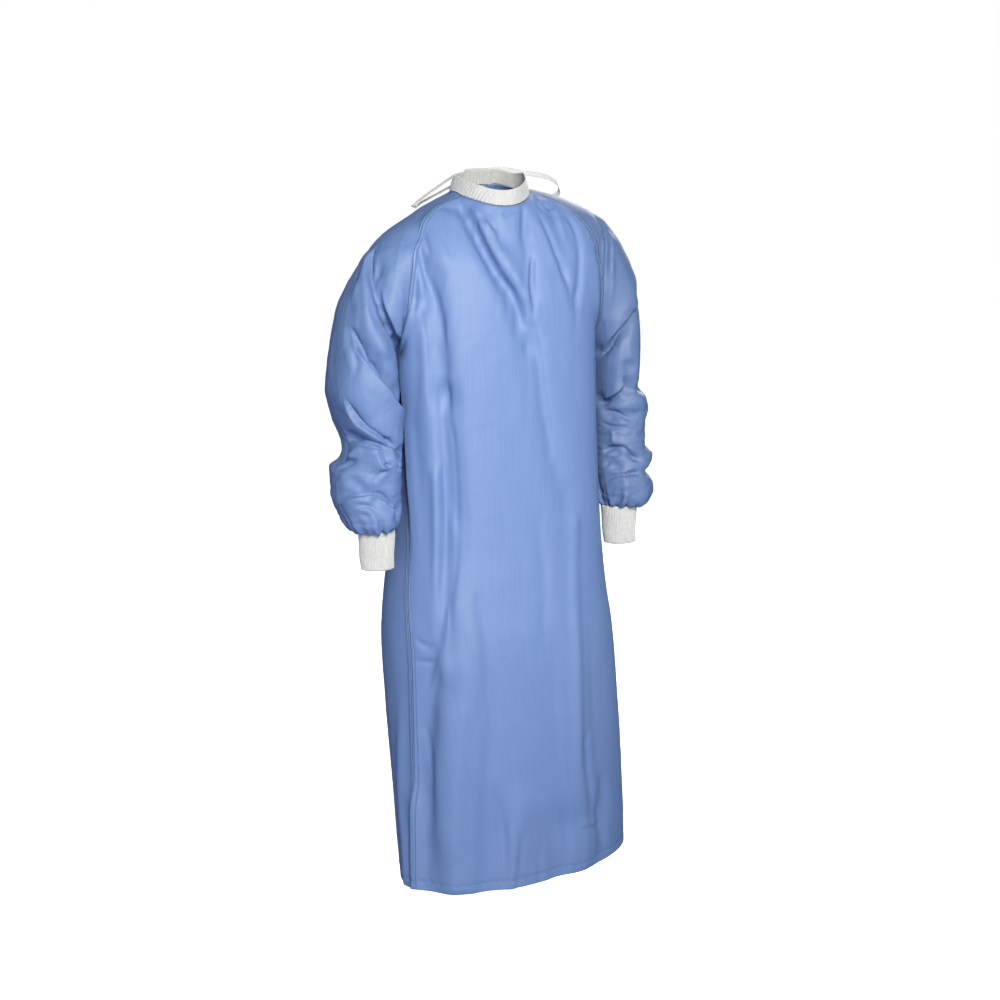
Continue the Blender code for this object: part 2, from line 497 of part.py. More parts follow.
class Skin:
    """All panels' outer points, joined along the seams, so that neighbours share their normals."""

    def __init__(self, grids, facing):
        self.grids = grids
        self.facing = facing
        self.join()

    def join(self):
        """Gives each distinct point one number."""
        seen = {}
        self.numbers = {}
        for name, grid in self.grids.items():
            flat = grid.reshape(-1, 3)
            numbers = np.empty(len(flat), dtype=int)
            for k, point in enumerate(flat):
                key = tuple(np.round(point / 2e-5).astype(int))
                numbers[k] = seen.setdefault(key, len(seen))
            self.numbers[name] = numbers
        self.count = len(seen)

    def normals(self):
        """One outward unit normal for each grid point, averaged over every face round it."""
        total = np.zeros((self.count, 3))
        for name, grid in self.grids.items():
            rows, columns = grid.shape[:2]
            flat = grid.reshape(-1, 3)
            quads = np.array(face_corners(columns, rows))
            first = flat[quads[:, 2]] - flat[quads[:, 0]]
            second = flat[quads[:, 3]] - flat[quads[:, 1]]
            area = np.cross(first, second) * self.facing[name]
            size = np.maximum(np.linalg.norm(area, axis=1, keepdims=True), 1e-12)
            weight = area / np.sqrt(size)
            for corner in range(4):
                np.add.at(total, self.numbers[name][quads[:, corner]], weight)
        total /= np.maximum(np.linalg.norm(total, axis=1, keepdims=True), 1e-12)
        return {
            name: total[self.numbers[name]].reshape(grid.shape)
            for name, grid in self.grids.items()
        }

    def fold(self, folds):
        """Presses the folds into the skin along its normals."""
        normals = self.normals()
        names = list(self.grids)
        points = np.concatenate([self.grids[n].reshape(-1, 3) for n in names])
        towards = np.concatenate([normals[n].reshape(-1, 3) for n in names])
        moved = np.zeros(len(points))
        for row in folds:
            values = dict(zip(FOLD_COLUMNS, row))
            sign = -1.0 if values["face"] == "front" else 1.0
            looking = sign * towards[:, 1]
            path = [on_skin(points, looking, x, z) for x, z in values["path"]]
            distance = np.full(len(points), np.inf)
            for start, end in zip(path, path[1:]):
                distance = np.minimum(distance, to_segment(points, start, end))
            shape = np.exp(-((distance / values["width"]) ** 2))
            moved += values["depth"] * shape * smooth((looking + 0.25) / 0.5)
        at = 0
        for name in names:
            size = self.grids[name].shape[0] * self.grids[name].shape[1]
            push = moved[at:at + size].reshape(self.grids[name].shape[:2])
            push[:len(NECK_HOLD)] *= np.array(NECK_HOLD)[:, None]
            self.grids[name] = self.grids[name] + push[..., None] * normals[name]
            at += size


def on_skin(points, looking, x, z):
    """The skin point nearest to (x, z) on the side that looks the right way."""
    off = np.hypot(points[:, 0] - x, points[:, 2] - z) + 0.5 * (looking < 0.15)
    return points[np.argmin(off)]


def to_segment(points, start, end):
    """Distance of every point from a straight stretch."""
    along = end - start
    share = np.clip((points - start) @ along / (along @ along), 0.0, 1.0)
    return np.linalg.norm(points - start - share[:, None] * along, axis=1)


def gather(grid):
    """Soft gathers round a sleeve's end, pressed along the ring's own radius."""
    at = np.concatenate((np.zeros(YOKE_ROWS), arm_downs()))
    depth = GATHER_DEPTH * smooth((at - GATHER_START) / (0.98 - GATHER_START)) * (at < 0.99)
    wave = np.cos(2.0 * math.pi * GATHER_COUNT * np.linspace(0.0, 1.0, SLEEVE_COLUMNS + 1))
    centre = grid.mean(axis=1, keepdims=True)
    radius = grid - centre
    length = np.linalg.norm(radius, axis=2, keepdims=True)
    return grid + radius / length * (depth[:, None] * wave[None, :])[..., None]


def soften(grid, reach):
    """Evens out the rows either side of the underarm, away from the seams."""
    rows, columns = grid.shape[:2]
    row = np.abs(np.arange(rows) - YOKE_ROWS - 1.0)
    column = np.minimum(np.arange(columns), columns - 1 - np.arange(columns))
    share = (smooth((reach - row) / 3.0)[:, None] * smooth(column / 5.0)[None, :])[..., None]
    for _ in range(SOFT_PASSES):
        middle = grid.copy()
        middle[1:-1] = (grid[:-2] + grid[2:]) / 2.0
        grid = grid + 0.5 * share * (middle - grid)
    return grid


def make_skin():
    """Front, back and both sleeves as one joined skin."""
    grids = {
        "front": np.array(yoke_rows(FRONT_SEAM, FRONT_MIDDLE, -1) + body_rows(-1)),
        "back": np.array(yoke_rows(BACK_SEAM, BACK_MIDDLE, 1) + body_rows(1)),
        "sleeve_right": sleeve_grid(CROWN_RIGHT, ARM_RIGHT, -1),
        "sleeve_left": sleeve_grid(CROWN_LEFT, ARM_LEFT, 1),
    }
    for name, grid in grids.items():
        kind = "sleeve" if name.startswith("sleeve") else "body"
        grids[name] = lean(soften(grid, SOFT_REACH[kind]))
    facing = {"front": 1.0, "back": -1.0, "sleeve_right": -1.0, "sleeve_left": 1.0}
    skin = Skin(grids, facing)
    skin.fold(FOLDS)
    return skin


# ---------------------------------------------------------------- walls
def pulled_in(grid, normals, loop_from=None):
    """Draws each free edge of a panel in by half the seam gap, within the surface."""
    out = grid.copy()
    rows, columns = grid.shape[:2]

    def draw(i, j, inward, along):
        normal = normals[i, j]
        inward = inward - normal * (inward @ normal)
        along = along - normal * (along @ normal)
        size = np.linalg.norm(along)
        if size > 1e-9:
            along = along / size
            inward = inward - along * (inward @ along)
        out[i, j] += SEAM_GAP / 2.0 * inward / max(np.linalg.norm(inward), 1e-9)

    last_row = rows - 1 if loop_from is None else loop_from
    for i in range(last_row + (1 if loop_from is None else 0)):
        above = grid[max(i - 1, 0)]
        below = grid[min(i + 1, rows - 1)]
        draw(i, 0, grid[i, 1] - grid[i, 0], below[0] - above[0])
        draw(i, columns - 1, grid[i, -2] - grid[i, -1], below[-1] - above[-1])
    for j in range(columns):
        left = max(j - 1, 0)
        right = min(j + 1, columns - 1)
        draw(0, j, grid[1, j] - grid[0, j], grid[0, right] - grid[0, left])
        draw(rows - 1, j, grid[-2, j] - grid[-1, j], grid[-1, right] - grid[-1, left])
    if loop_from is not None:
        for j in (0, columns - 1):
            step = grid[loop_from + 1, j] - grid[loop_from, j]
            out[loop_from, j] += SEAM_GAP / 2.0 * step / np.linalg.norm(step)
    return out


def wall(name, grid, normals, facing, material, loop_from=None, thick=WALL):
    """A closed wall: the outer points, and inner ones moved in along the normals.

    From row loop_from on, the first and the last column are the same line.
    """
    rows, columns = grid.shape[:2]
    bm = bmesh.new()
    outer = {}
    inner = {}
    for i in range(rows):
        for j in range(columns):
            if loop_from is not None and i >= loop_from and j == columns - 1:
                outer[i, j] = outer[i, 0]
                inner[i, j] = inner[i, 0]
                continue
            outer[i, j] = bm.verts.new(grid[i, j])
            inner[i, j] = bm.verts.new(grid[i, j] - thick * normals[i, j])
    flip = facing < 0

    def face(corners):
        corners = list(reversed(corners)) if flip else list(corners)
        bm.faces.new(corners)

    for i in range(rows - 1):
        for j in range(columns - 1):
            square = ((i, j), (i + 1, j), (i + 1, j + 1), (i, j + 1))
            face([outer[c] for c in square])
            face([inner[c] for c in reversed(square)])
    rim = [((0, j + 1), (0, j)) for j in range(columns - 1)]
    rim += [((rows - 1, j), (rows - 1, j + 1)) for j in range(columns - 1)]
    open_rows = rows - 1 if loop_from is None else loop_from
    rim += [((i, 0), (i + 1, 0)) for i in range(open_rows)]
    rim += [((i + 1, columns - 1), (i, columns - 1)) for i in range(open_rows)]
    for start, end in rim:
        face([outer[end], outer[start], inner[start], inner[end]])
    bmesh.ops.triangulate(bm, faces=bm.faces[:])
    return finish(name, bm, material)


def finish(name, bm, material):
    """Turns a bmesh into a named, smooth-shaded object of the gown."""
    mesh = bpy.data.meshes.new(name)
    bm.to_mesh(mesh)
    bm.free()
    mesh.materials.append(material)
    mesh.shade_smooth()
    mesh.set_sharp_from_angle(angle=math.radians(50.0))
    obj = bpy.data.objects.new(name, mesh)
    gown.objects.link(obj)
    return obj


# ---------------------------------------------------------------- pieces
def make_panels(skin, normals, cloth):
    """Front, the two lapped back panels and both sleeves."""
    front = skin.grids["front"]
    wall("front", pulled_in(front, normals["front"]), normals["front"], 1, cloth)
    back = skin.grids["back"]
    back_normals = normals["back"]
    middle = BACK_COLUMNS // 2
    under = slice(0, middle + BACK_LAP_COLUMNS + 1)
    grid = pulled_in(back[:, under], back_normals[:, under])
    wall("back_right", grid, back_normals[:, under], -1, cloth)
    over = slice(middle - BACK_LAP_COLUMNS, BACK_COLUMNS + 1)
    lifted = back[:, over] + lap_share()[None, over, None] * LAP_OUT * back_normals[:, over]
    grid = pulled_in(lifted, back_normals[:, over])
    wall("back_left", grid, back_normals[:, over], -1, cloth)
    for name, facing in (("sleeve_right", -1), ("sleeve_left", 1)):
        grid = pulled_in(skin.grids[name], normals[name], loop_from=YOKE_ROWS)
        wall(name, grid, normals[name], facing, cloth, loop_from=YOKE_ROWS)


def lap_share():
    """How far each back column of the over layer is lifted, from 0 at the side seam to 1."""
    column = np.arange(BACK_COLUMNS + 1)
    clear = BACK_COLUMNS // 2 + BACK_LAP_COLUMNS
    return smooth((BACK_COLUMNS - column) / (BACK_COLUMNS - clear - 1.0))


def make_cuff(name, ring, knit):
    """A knit cuff that hangs from the sleeve's last ring."""
    centre = ring[:-1].mean(axis=0)
    rows = []
    normals = []
    for k in range(CUFF_ROWS + 1):
        share = k / CUFF_ROWS
        shrink = 1.0 - (1.0 - CUFF_TAPER) * share
        row = centre + (ring - centre) * np.array([shrink, shrink, 1.0])
        row[:, 2] -= SEAM_GAP + CUFF_LENGTH * share
        row[:, 1] -= 0.006 * share
        away = (row - row[:-1].mean(axis=0)) * np.array([1.0, 1.0, 0.0])
        rows.append(row)
        normals.append(away / np.linalg.norm(away, axis=1, keepdims=True))
    facing = -1 if centre[0] < 0 else 1
    wall(name, np.array(rows), np.array(normals), facing, knit, loop_from=0)


def neckline(skin, normals):
    """The neck edge's points, from the under layer's end round to the over one's."""
    middle = BACK_COLUMNS // 2
    back = skin.grids["back"][0]
    over_back = back + lap_share()[:, None] * LAP_OUT * normals["back"][0]
    under = slice(middle + BACK_LAP_COLUMNS, 0, -1)
    over = slice(BACK_COLUMNS - 1, middle - BACK_LAP_COLUMNS - 1, -1)
    points = np.concatenate([
        back[under],
        skin.grids["sleeve_right"][0][::-1],
        skin.grids["front"][0][1:-1],
        skin.grids["sleeve_left"][0],
        over_back[over],
    ])
    return points[::2]


def away_from_neck(points):
    """Level unit directions from the neck's axis."""
    away = (points - np.array([0.0, NECK_AXIS_Y, 0.0])) * np.array([1.0, 1.0, 0.0])
    return away / np.linalg.norm(away, axis=1, keepdims=True)


def band_line(points, share):
    """The neckband's outer line at a share of its height."""
    line = points - away_from_neck(points) * BAND_HEIGHT * BAND_LEAN * share ** 1.3
    line[:, 2] += BAND_CLEAR + BAND_HEIGHT * share
    return line


def make_neckband(skin, normals, knit):
    """The band stands on the neck edge and leans in a little."""
    points = neckline(skin, normals)
    grid = np.array([band_line(points, share) for share in (1.0, 0.5, 0.0)])
    facing = np.repeat(away_from_neck(points)[None], 3, axis=0)
    wall("neckband", grid, facing, 1, knit)


# ---------------------------------------------------------------- ties
def curve_through(points, count):
    """A smooth line through the points, as count + 1 even ones."""
    points = np.array(points, dtype=float)
    padded = np.vstack((2 * points[0] - points[1], points, 2 * points[-1] - points[-2]))
    line = []
    for k in range(1, len(padded) - 2):
        before, start, end, after = padded[k - 1:k + 3]
        for t in np.linspace(0.0, 1.0, 12, endpoint=False):
            line.append(0.5 * (
                2 * start
                + (end - before) * t
                + (2 * before - 5 * start + 4 * end - after) * t ** 2
                + (3 * start - before - 3 * end + after) * t ** 3
            ))
    line.append(padded[-2])
    return even(np.array(line), count)


def make_tape(name, line, across, material, start=None, stop=None):
    """A flat tape along the line; across is the direction of its width.

    start and stop are the directions that its ends are cut square to.
    """
    tangent = np.gradient(line, axis=0)
    if start is not None:
        tangent[0] = start
    if stop is not None:
        tangent[-1] = stop
    tangent /= np.linalg.norm(tangent, axis=1, keepdims=True)
    across = across - tangent * (tangent @ across)[:, None]
    across /= np.linalg.norm(across, axis=1, keepdims=True)
    normal = np.cross(across, tangent)
    outer = line + normal * TAPE_THICK / 2.0
    edges = [outer - across * TAPE_WIDTH / 2.0, outer + across * TAPE_WIDTH / 2.0]
    grid = np.stack(edges, axis=1)
    normals = np.stack((normal, normal), axis=1)
    wall(name, grid, normals, -1, material, thick=TAPE_THICK)


def make_knot(name, centre, frame, material):
    """The knot: a small rounded block."""
    bm = bmesh.new()
    bmesh.ops.create_cube(bm, size=1.0)
    bmesh.ops.scale(bm, vec=KNOT_SIZE, verts=bm.verts)
    bmesh.ops.bevel(bm, geom=bm.edges[:], offset=KNOT_ROUND, segments=2, affect="EDGES")
    for vert in bm.verts:
        vert.co = centre + np.array(vert.co) @ frame
    bmesh.ops.triangulate(bm, faces=bm.faces[:])
    finish(name, bm, material)


def spot(line, column):
    """A place on a line of points at a fractional column."""
    place = int(min(column, len(line) - 2))
    return line[place] + (line[place + 1] - line[place]) * (column - place)


def make_bow(prefix, layers, normals, up, knot_column, loops, tails, stands, material):
    """Two sewn runs that meet under a knot, with two loops and two tails.

    layers are the lines of the under and the over layer along the back, from the right seam to
    the left one; up is the direction of a run's width.
    """
    under, over = layers
    edge = BACK_COLUMNS // 2 - BACK_LAP_COLUMNS
    seat = TIE_CLEAR + TAPE_THICK / 2.0

    def on(layer, column, extra=0.0):
        return spot(layer, column) + (seat + extra) * spot(normals, column)

    stops = np.arange(edge, BACK_COLUMNS)
    left = [knot_column + RUN_END] + [c for c in stops if 0.2 < c - knot_column < RUN_COLUMNS]
    right = [c for c in stops if c < knot_column - 0.2] + [knot_column - RUN_END]
    right_line = [on(under, edge - 3.0), on(under, edge - 2.0), on(under, edge - 1.0, STEP_UP)]
    right_line += [on(over, edge - 0.1, STEP_UP)] + [on(over, c) for c in right]
    make_tape(prefix + "_run_left", np.array([on(over, c) for c in left]), up, material)
    make_tape(prefix + "_run_right", np.array(right_line), up, material)

    out = spot(normals, knot_column)
    side = spot(over, knot_column + 0.5) - spot(over, knot_column - 0.5)
    side -= out * (side @ out)
    side /= np.linalg.norm(side)
    drop = np.cross(out, side)
    frame = np.array([side, out, drop])
    up = up - side * (side @ up)
    up /= np.linalg.norm(up)
    away = np.cross(up, side)
    lift = TIE_CLEAR + TAPE_THICK + KNOT_CLEAR + KNOT_SIZE[1] / 2.0
    centre = spot(over, knot_column) + lift * away
    make_knot(prefix + "_knot", centre, np.array([side, away, up]), material)
    for hand, sign, loop, tail, stand in zip(("left", "right"), (1.0, -1.0), loops, tails, stands):
        line = centre + curve_through(loop, TAPE_STEPS) @ frame
        name = f"{prefix}_loop_{hand}"
        make_tape(name, line, stand @ frame, material, start=sign * side, stop=-sign * side)
        line = centre + curve_through(tail, TAPE_STEPS) @ frame
        make_tape(f"{prefix}_tail_{hand}", line, side, material, start=drop)


def straightened(line):
    """The line with every even point moved half-way between its odd neighbours."""
    line = line.copy()
    line[2:-1:2] = (line[1:-2:2] + line[3::2]) / 2.0
    return line


def make_ties(skin, normals, tape):
    """The bow at the nape and the one at the back of the waist."""
    lap = lap_share()[:, None] * LAP_OUT
    back = skin.grids["back"][0]
    lines = [back, back + lap * normals["back"][0]]
    away = straightened(away_from_neck(back))
    away /= np.linalg.norm(away, axis=1, keepdims=True)
    make_bow(
        "neck_tie", [straightened(band_line(line, 0.5)) for line in lines], away,
        np.array([0.0, -BAND_LEAN, 1.0]), NECK_KNOT_COLUMN,
        (NECK_LOOP_LEFT, NECK_LOOP_RIGHT), (NECK_TAIL_LEFT, NECK_TAIL_RIGHT), NECK_STANDS, tape,
    )
    line = skin.grids["back"][WAIST_TIE_ROW]
    out = normals["back"][WAIST_TIE_ROW]
    make_bow(
        "waist_tie", (line, line + lap * out), out, np.array([0.0, 0.0, 1.0]), WAIST_KNOT_COLUMN,
        (WAIST_LOOP_LEFT, WAIST_LOOP_RIGHT), (WAIST_TAIL_LEFT, WAIST_TAIL_RIGHT), WAIST_STANDS, tape,
    )


# ---------------------------------------------------------------- materials
def principled(name, colour, roughness):
    """A plain surface with the piece's colour."""
    material = bpy.data.materials.new(name)
    material.use_nodes = True
    shader = material.node_tree.nodes["Principled BSDF"]
    shader.inputs["Base Color"].default_value = (*colour, 1.0)
    shader.inputs["Roughness"].default_value = roughness
    shader.inputs["Metallic"].default_value = 0.0
    return material


# ---------------------------------------------------------------- build
for old in list(bpy.data.objects):
    bpy.data.objects.remove(old)
gown = bpy.data.collections.new("surgical_gown")
bpy.context.scene.collection.children.link(gown)

cloth_blue = principled("gown_cloth", (0.17, 0.30, 0.62), 0.62)
knit_white = principled("neckband_knit", (0.86, 0.88, 0.90), 0.85)
cuff_white = principled("cuff_knit", (0.84, 0.86, 0.88), 0.88)
tape_white = principled("tie_tape", (0.80, 0.82, 0.84), 0.80)

whole = make_skin()
whole_normals = whole.normals()
make_panels(whole, whole_normals, cloth_blue)
make_cuff("cuff_right", whole.grids["sleeve_right"][-1], cuff_white)
make_cuff("cuff_left", whole.grids["sleeve_left"][-1], cuff_white)
make_neckband(whole, whole_normals, knit_white)
make_ties(whole, whole_normals, tape_white)
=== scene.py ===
"""Surgical gown: its cloth, seams, stitches, knit cuffs, neckband and tape ties."""
import math

import bmesh
import bpy
import numpy as np
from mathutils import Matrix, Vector


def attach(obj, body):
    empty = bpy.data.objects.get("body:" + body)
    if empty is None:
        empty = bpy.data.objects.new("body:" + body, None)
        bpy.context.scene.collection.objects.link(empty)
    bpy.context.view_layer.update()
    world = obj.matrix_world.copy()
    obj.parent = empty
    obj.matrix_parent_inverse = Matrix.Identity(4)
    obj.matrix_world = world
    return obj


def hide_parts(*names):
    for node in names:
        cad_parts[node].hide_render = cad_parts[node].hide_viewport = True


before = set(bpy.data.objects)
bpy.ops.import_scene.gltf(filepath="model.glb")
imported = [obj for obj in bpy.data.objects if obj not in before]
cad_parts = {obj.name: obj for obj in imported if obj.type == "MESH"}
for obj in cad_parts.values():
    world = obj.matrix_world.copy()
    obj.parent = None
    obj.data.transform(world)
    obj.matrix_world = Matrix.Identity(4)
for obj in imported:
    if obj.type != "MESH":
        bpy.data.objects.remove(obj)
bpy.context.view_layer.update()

# ---------------------------------------------------------------- sizes, in metres
CLOTH_WALL = 0.002             # wall of the frame's cloth solids
TAPE_WALL = 0.0012
MERGE = 0.00002                # the frame's loose triangles are joined within this distance
SHARP_CORNER = 40.0            # degrees: a free edge that turns more than this has a corner

CLOTH_THICK = 0.0006           # the cloth itself
TAPE_THICK = 0.0009
CUFF_THICK = 0.0014
BAND_THICK = 0.0013

YOKE_KNOTS = 12                # the frame's rows from the neckline to the underarm
YOKE_STEPS = 108               # fine rows over the same stretch
BODY_STEPS = 190               # from the underarm to the top of the hem
ARM_STEPS = 146                # from the underarm to the sleeve's end
FELL_STOPS = (0.0, 0.0014, 0.0046, 0.0078, 0.0100)   # fine columns beside every sewn edge
NARROWEST = 0.06               # a row shorter than this has them closer together
HEM_STOPS = (0.0182, 0.0158, 0.0120, 0.0070, 0.0020, 0.0)      # fine rows above the hem
CUFF_STOPS = (0.0060, 0.0030, 0.0)                   # and above the sleeve's end

HEM_DEPTH = 0.0155             # the hem's stitches above its edge
HEM_TURN = 0.0016              # from the cloth's outside to the turned-up layer inside it
HEM_FOLD = 0.0006              # how far the hem's fold lies under its edge
HEM_ROW = 0.002                # the turned-up rows on the cut, below the edge
TUCK = 0.003                   # the seam allowance that shows inside, and how far under it lies
TUCK_UNDER = 0.0011

FELL_WIDTH = 0.0088            # the flat seam beside each sewn edge
STITCH_ROWS = (0.0016, 0.0074) # its two rows of stitches, from the edge
INNER, OUTER = 1, 3            # the fine columns that those rows follow
STITCH_LONG = 0.0026
STITCH_PITCH = 0.0036
STITCH_WIDE = 0.00055
STITCH_SINK = 0.00006          # a stitch's middle above the cloth
FAR = 0.05                     # what a point with no sewn edge near it has as its distance

CUFF_RIBS = 64
RIB_STEPS = 6                  # fine columns on each rib
RIB_HIGH = 0.0009
CUFF_ROWS = 22
CUFF_WORN = 0.0007             # how far wear has made the cuff uneven

BAND_STEPS = (14, 340)         # fine rows down the neckband, and columns round it
BAND_GATHER = 0.0062           # from one gather of the neckband to the next
BAND_GATHER_HIGH = 0.0011
BAND_WORN = 0.0005
BAND_LEAST = 0.12              # how gathered its other side is
BAND_RIGHT = (0.004, 0.030)    # where it grows to the full, from the middle
BAND_BACK = 0.02               # further back than this, it is half as gathered

TAPE_PARTS = ("run_left", "run_right", "loop_left", "loop_right", "tail_left", "tail_right")
TAPE_STEP = 0.0015
TAPE_COLUMNS = 10
TAPE_EDGE = 0.00012            # the firm edges stand up this far
TAPE_SUNK = 0.00010
TAPE_TWIST = 0.00015
TAPE_TWIST_STEP = 0.004
KNOT_RIDGE = 0.0005            # the tape's turns on a knot
KNOT_SUNK = 0.0004
KNOT_TURNS = (620.0, 500.0, 300.0)     # radians of them for each metre along x, y and z

FLOOR_Z = -1.42


# ---------------------------------------------------------------- reading the frame's cloth
def merged_node(name):
    """A node's mesh, with its loose triangles joined."""
    bm = bmesh.new()
    bm.from_mesh(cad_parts[name].data)
    bmesh.ops.remove_doubles(bm, verts=bm.verts[:], dist=MERGE)
    return bm


def open_skin(name, wall):
    """The outer skin of a cloth wall: its rim and its inner skin are taken away."""
    bm = merged_node(name)
    through = [e for e in bm.edges if abs(e.calc_length() - wall) < MERGE]
    rim = list({f for e in through for f in e.link_faces})
    bmesh.ops.delete(bm, geom=rim, context="FACES")
    left = set(bm.faces)
    skins = []
    while left:
        waiting = [left.pop()]
        skin = list(waiting)
        while waiting:
            for edge in waiting.pop().edges:
                for face in edge.link_faces:
                    if face in left:
                        left.discard(face)
                        waiting.append(face)
                        skin.append(face)
        skins.append(skin)
    skins.sort(key=lambda faces: -sum(f.calc_area() for f in faces))
    others = [f for skin in skins[1:] for f in skin]
    bmesh.ops.delete(bm, geom=others, context="FACES")
    loose = [v for v in bm.verts if not v.link_faces]
    bmesh.ops.delete(bm, geom=loose, context="VERTS")
    return bm


def edge_loops(bm):
    """Each free edge of a skin as a ring of vertices."""
    free = {v: [e.other_vert(v) for e in v.link_edges if e.is_boundary] for v in bm.verts}
    left = {v for v, found in free.items() if found}
    loops = []
    while left:
        ring = [min(left, key=lambda v: v.index)]
        left.discard(ring[0])
        while True:
            step = [v for v in free[ring[-1]] if v in left]
            if not step:
                break
            ring.append(step[0])
            left.discard(step[0])
        loops.append(ring)
    return loops


def height_of(ring):
    return sum(v.co.z for v in ring) / len(ring)


def top_row(bm, strip):
    """The first row: the highest side of the free edge, the end of a strip, or a whole ring."""
    ring = max(edge_loops(bm), key=height_of)
    count = len(ring)
    turns = []
    for k, vert in enumerate(ring):
        into = vert.co - ring[k - 1].co
        out = ring[(k + 1) % count].co - vert.co
        turns.append(math.degrees(into.angle(out)))
    if strip:
        end = max(range(count), key=lambda k: turns[k - 1] + turns[k])
        return [ring[end - 1], ring[end]]
    corners = [k for k in range(count) if turns[k] > SHARP_CORNER]
    if not corners:
        return ring + ring[:1]
    sides = []
    for a, b in zip(corners, corners[1:] + [corners[0] + count]):
        sides.append([ring[k % count] for k in range(a, b + 1)])
    return max(sides, key=height_of)


def ordered(found, near, row):
    """Puts the next row's vertices in the order of the row above it."""
    beside = {v: [w for w in near[v] if w in found] for v in found}
    ends = [v for v in found if len(beside[v]) == 1]
    closed = not ends and len(found) > 2
    chain = [min(ends, key=lambda v: (v.co - row[0].co).length)] if ends else [next(iter(found))]
    if len(found) == 1:
        return chain
    while len(chain) < len(found):
        chain.append([v for v in beside[chain[-1]] if v not in chain[-2:]][0])
    if not closed:
        return chain
    best = None
    for ring in (chain, chain[::-1]):
        for k in range(len(ring)):
            turned = ring[k:] + ring[:k] + ring[k:k + 1]
            miss = sum((a.co - b.co).length_squared for a, b in zip(turned, row))
            if best is None or miss < best[0]:
                best = (miss, turned)
    return best[1]


def skin_rows(name, wall=CLOTH_WALL, strip=False):
    """Rows of points over a piece's outer skin, with its outward side on the same hand."""
    bm = open_skin(name, wall)
    bm.verts.index_update()
    near = {v: {e.other_vert(v) for e in v.link_edges} for v in bm.verts}
    row = top_row(bm, strip)
    rows = [row]
    seen = set(row)
    while True:
        found = set().union(*(near[v] for v in row)) - seen
        if not found:
            break
        row = ordered(found, near, row)
        seen |= set(row)
        rows.append(row)
    grid = np.array([[tuple(v.co) for v in r] for r in rows])
    row = len(rows) // 2
    bm.normal_update()
    face = next(f for f in rows[row][0].link_faces if rows[row][1] in f.verts)
    turned = np.cross(grid[row, 1] - grid[row, 0], grid[row - 1, 0] - grid[row, 0])
    if turned @ np.array(face.normal) < 0:
        grid = grid[:, ::-1]
    bm.free()
    return grid


# ---------------------------------------------------------------- curves and fine grids
def lengths_along(points):
    """The length from the first point to each, and each step's own length."""
    step = np.linalg.norm(np.diff(points, axis=0), axis=1)
    return np.concatenate(([0.0], np.cumsum(step))), step


def length_of(points):
    return np.linalg.norm(np.diff(points, axis=0), axis=1).sum()


def curve(points, stops, ring=False):
    """Points of a smooth curve through the given ones, at these lengths along it."""
    at, step = lengths_along(points)
    slope = np.diff(points, axis=0) / step[:, None]
    first, last = (slope[-1:], slope[:1]) if ring else (slope[:1], slope[-1:])
    before = np.vstack((first, slope))
    after = np.vstack((slope, last))
    short = np.concatenate(([step[-1] if ring else step[0]], step))
    long = np.concatenate((step, [step[0] if ring else step[-1]]))
    tangent = (before * long[:, None] + after * short[:, None]) / (short + long)[:, None]
    k = np.clip(np.searchsorted(at, stops, side="right") - 1, 0, len(step) - 1)
    h = step[k][:, None]
    t = ((stops - at[k]) / step[k])[:, None]
    return (
        (2 * t ** 3 - 3 * t ** 2 + 1) * points[k]
        + (t ** 3 - 2 * t ** 2 + t) * h * tangent[k]
        + (3 * t ** 2 - 2 * t ** 3) * points[k + 1]
        + (t ** 3 - t ** 2) * h * tangent[k + 1]
    )


def down(grid, lower_steps, end_stops):
    """Fine rows: the same steps on every column down to the underarm, and below it."""
    lines = []
    for j in range(grid.shape[1]):
        line = grid[:, j]
        yoke = length_of(line[:YOKE_KNOTS + 1])
        whole = length_of(line)
        upper = np.linspace(0.0, yoke, YOKE_STEPS + 1)
        lower = np.linspace(yoke, whole - end_stops[0], lower_steps + 1)[1:]
        end = whole - np.array(end_stops[1:])
        lines.append(curve(line, np.concatenate((upper, lower, end))))
    return np.stack(lines, axis=1)


def across(grid, steps, loop_from):
    """Fine columns: fixed distances beside both edges, even steps between them."""
    rows = []
    for i, line in enumerate(grid):
        whole = length_of(line)
        beside = np.array(FELL_STOPS) * min(1.0, whole / NARROWEST)
        middle = np.linspace(beside[-1], whole - beside[-1], steps + 1)[1:-1]
        stops = np.concatenate((beside, middle, whole - beside[::-1]))
        rows.append(curve(line, stops, ring=loop_from is not None and i >= loop_from))
    return np.array(rows)


def even_lines(grid, count, axis, ring=False):
    """The same points, evenly spaced along the rows (axis 1) or the columns (axis 0)."""
    grid = grid if axis == 1 else grid.transpose(1, 0, 2)
    lines = [curve(line, np.linspace(0.0, length_of(line), count + 1), ring=ring) for line in grid]
    lines = np.array(lines)
    return lines if axis == 1 else lines.transpose(1, 0, 2)


def unit(vectors, least=1e-12):
    """Vectors of length 1, along the last axis."""
    return vectors / np.maximum(np.linalg.norm(vectors, axis=-1, keepdims=True), least)


def normals_of(grid, loop_from=None):
    """Outward normals of a fine grid. Its rows are rings from loop_from on."""
    down_way = np.gradient(grid, axis=0)
    over_way = np.gradient(grid, axis=1)
    if loop_from is not None:
        joined = grid[loop_from:, 1] - grid[loop_from:, -2]
        over_way[loop_from:, 0] = joined
        over_way[loop_from:, -1] = joined
    return unit(np.cross(down_way, over_way))


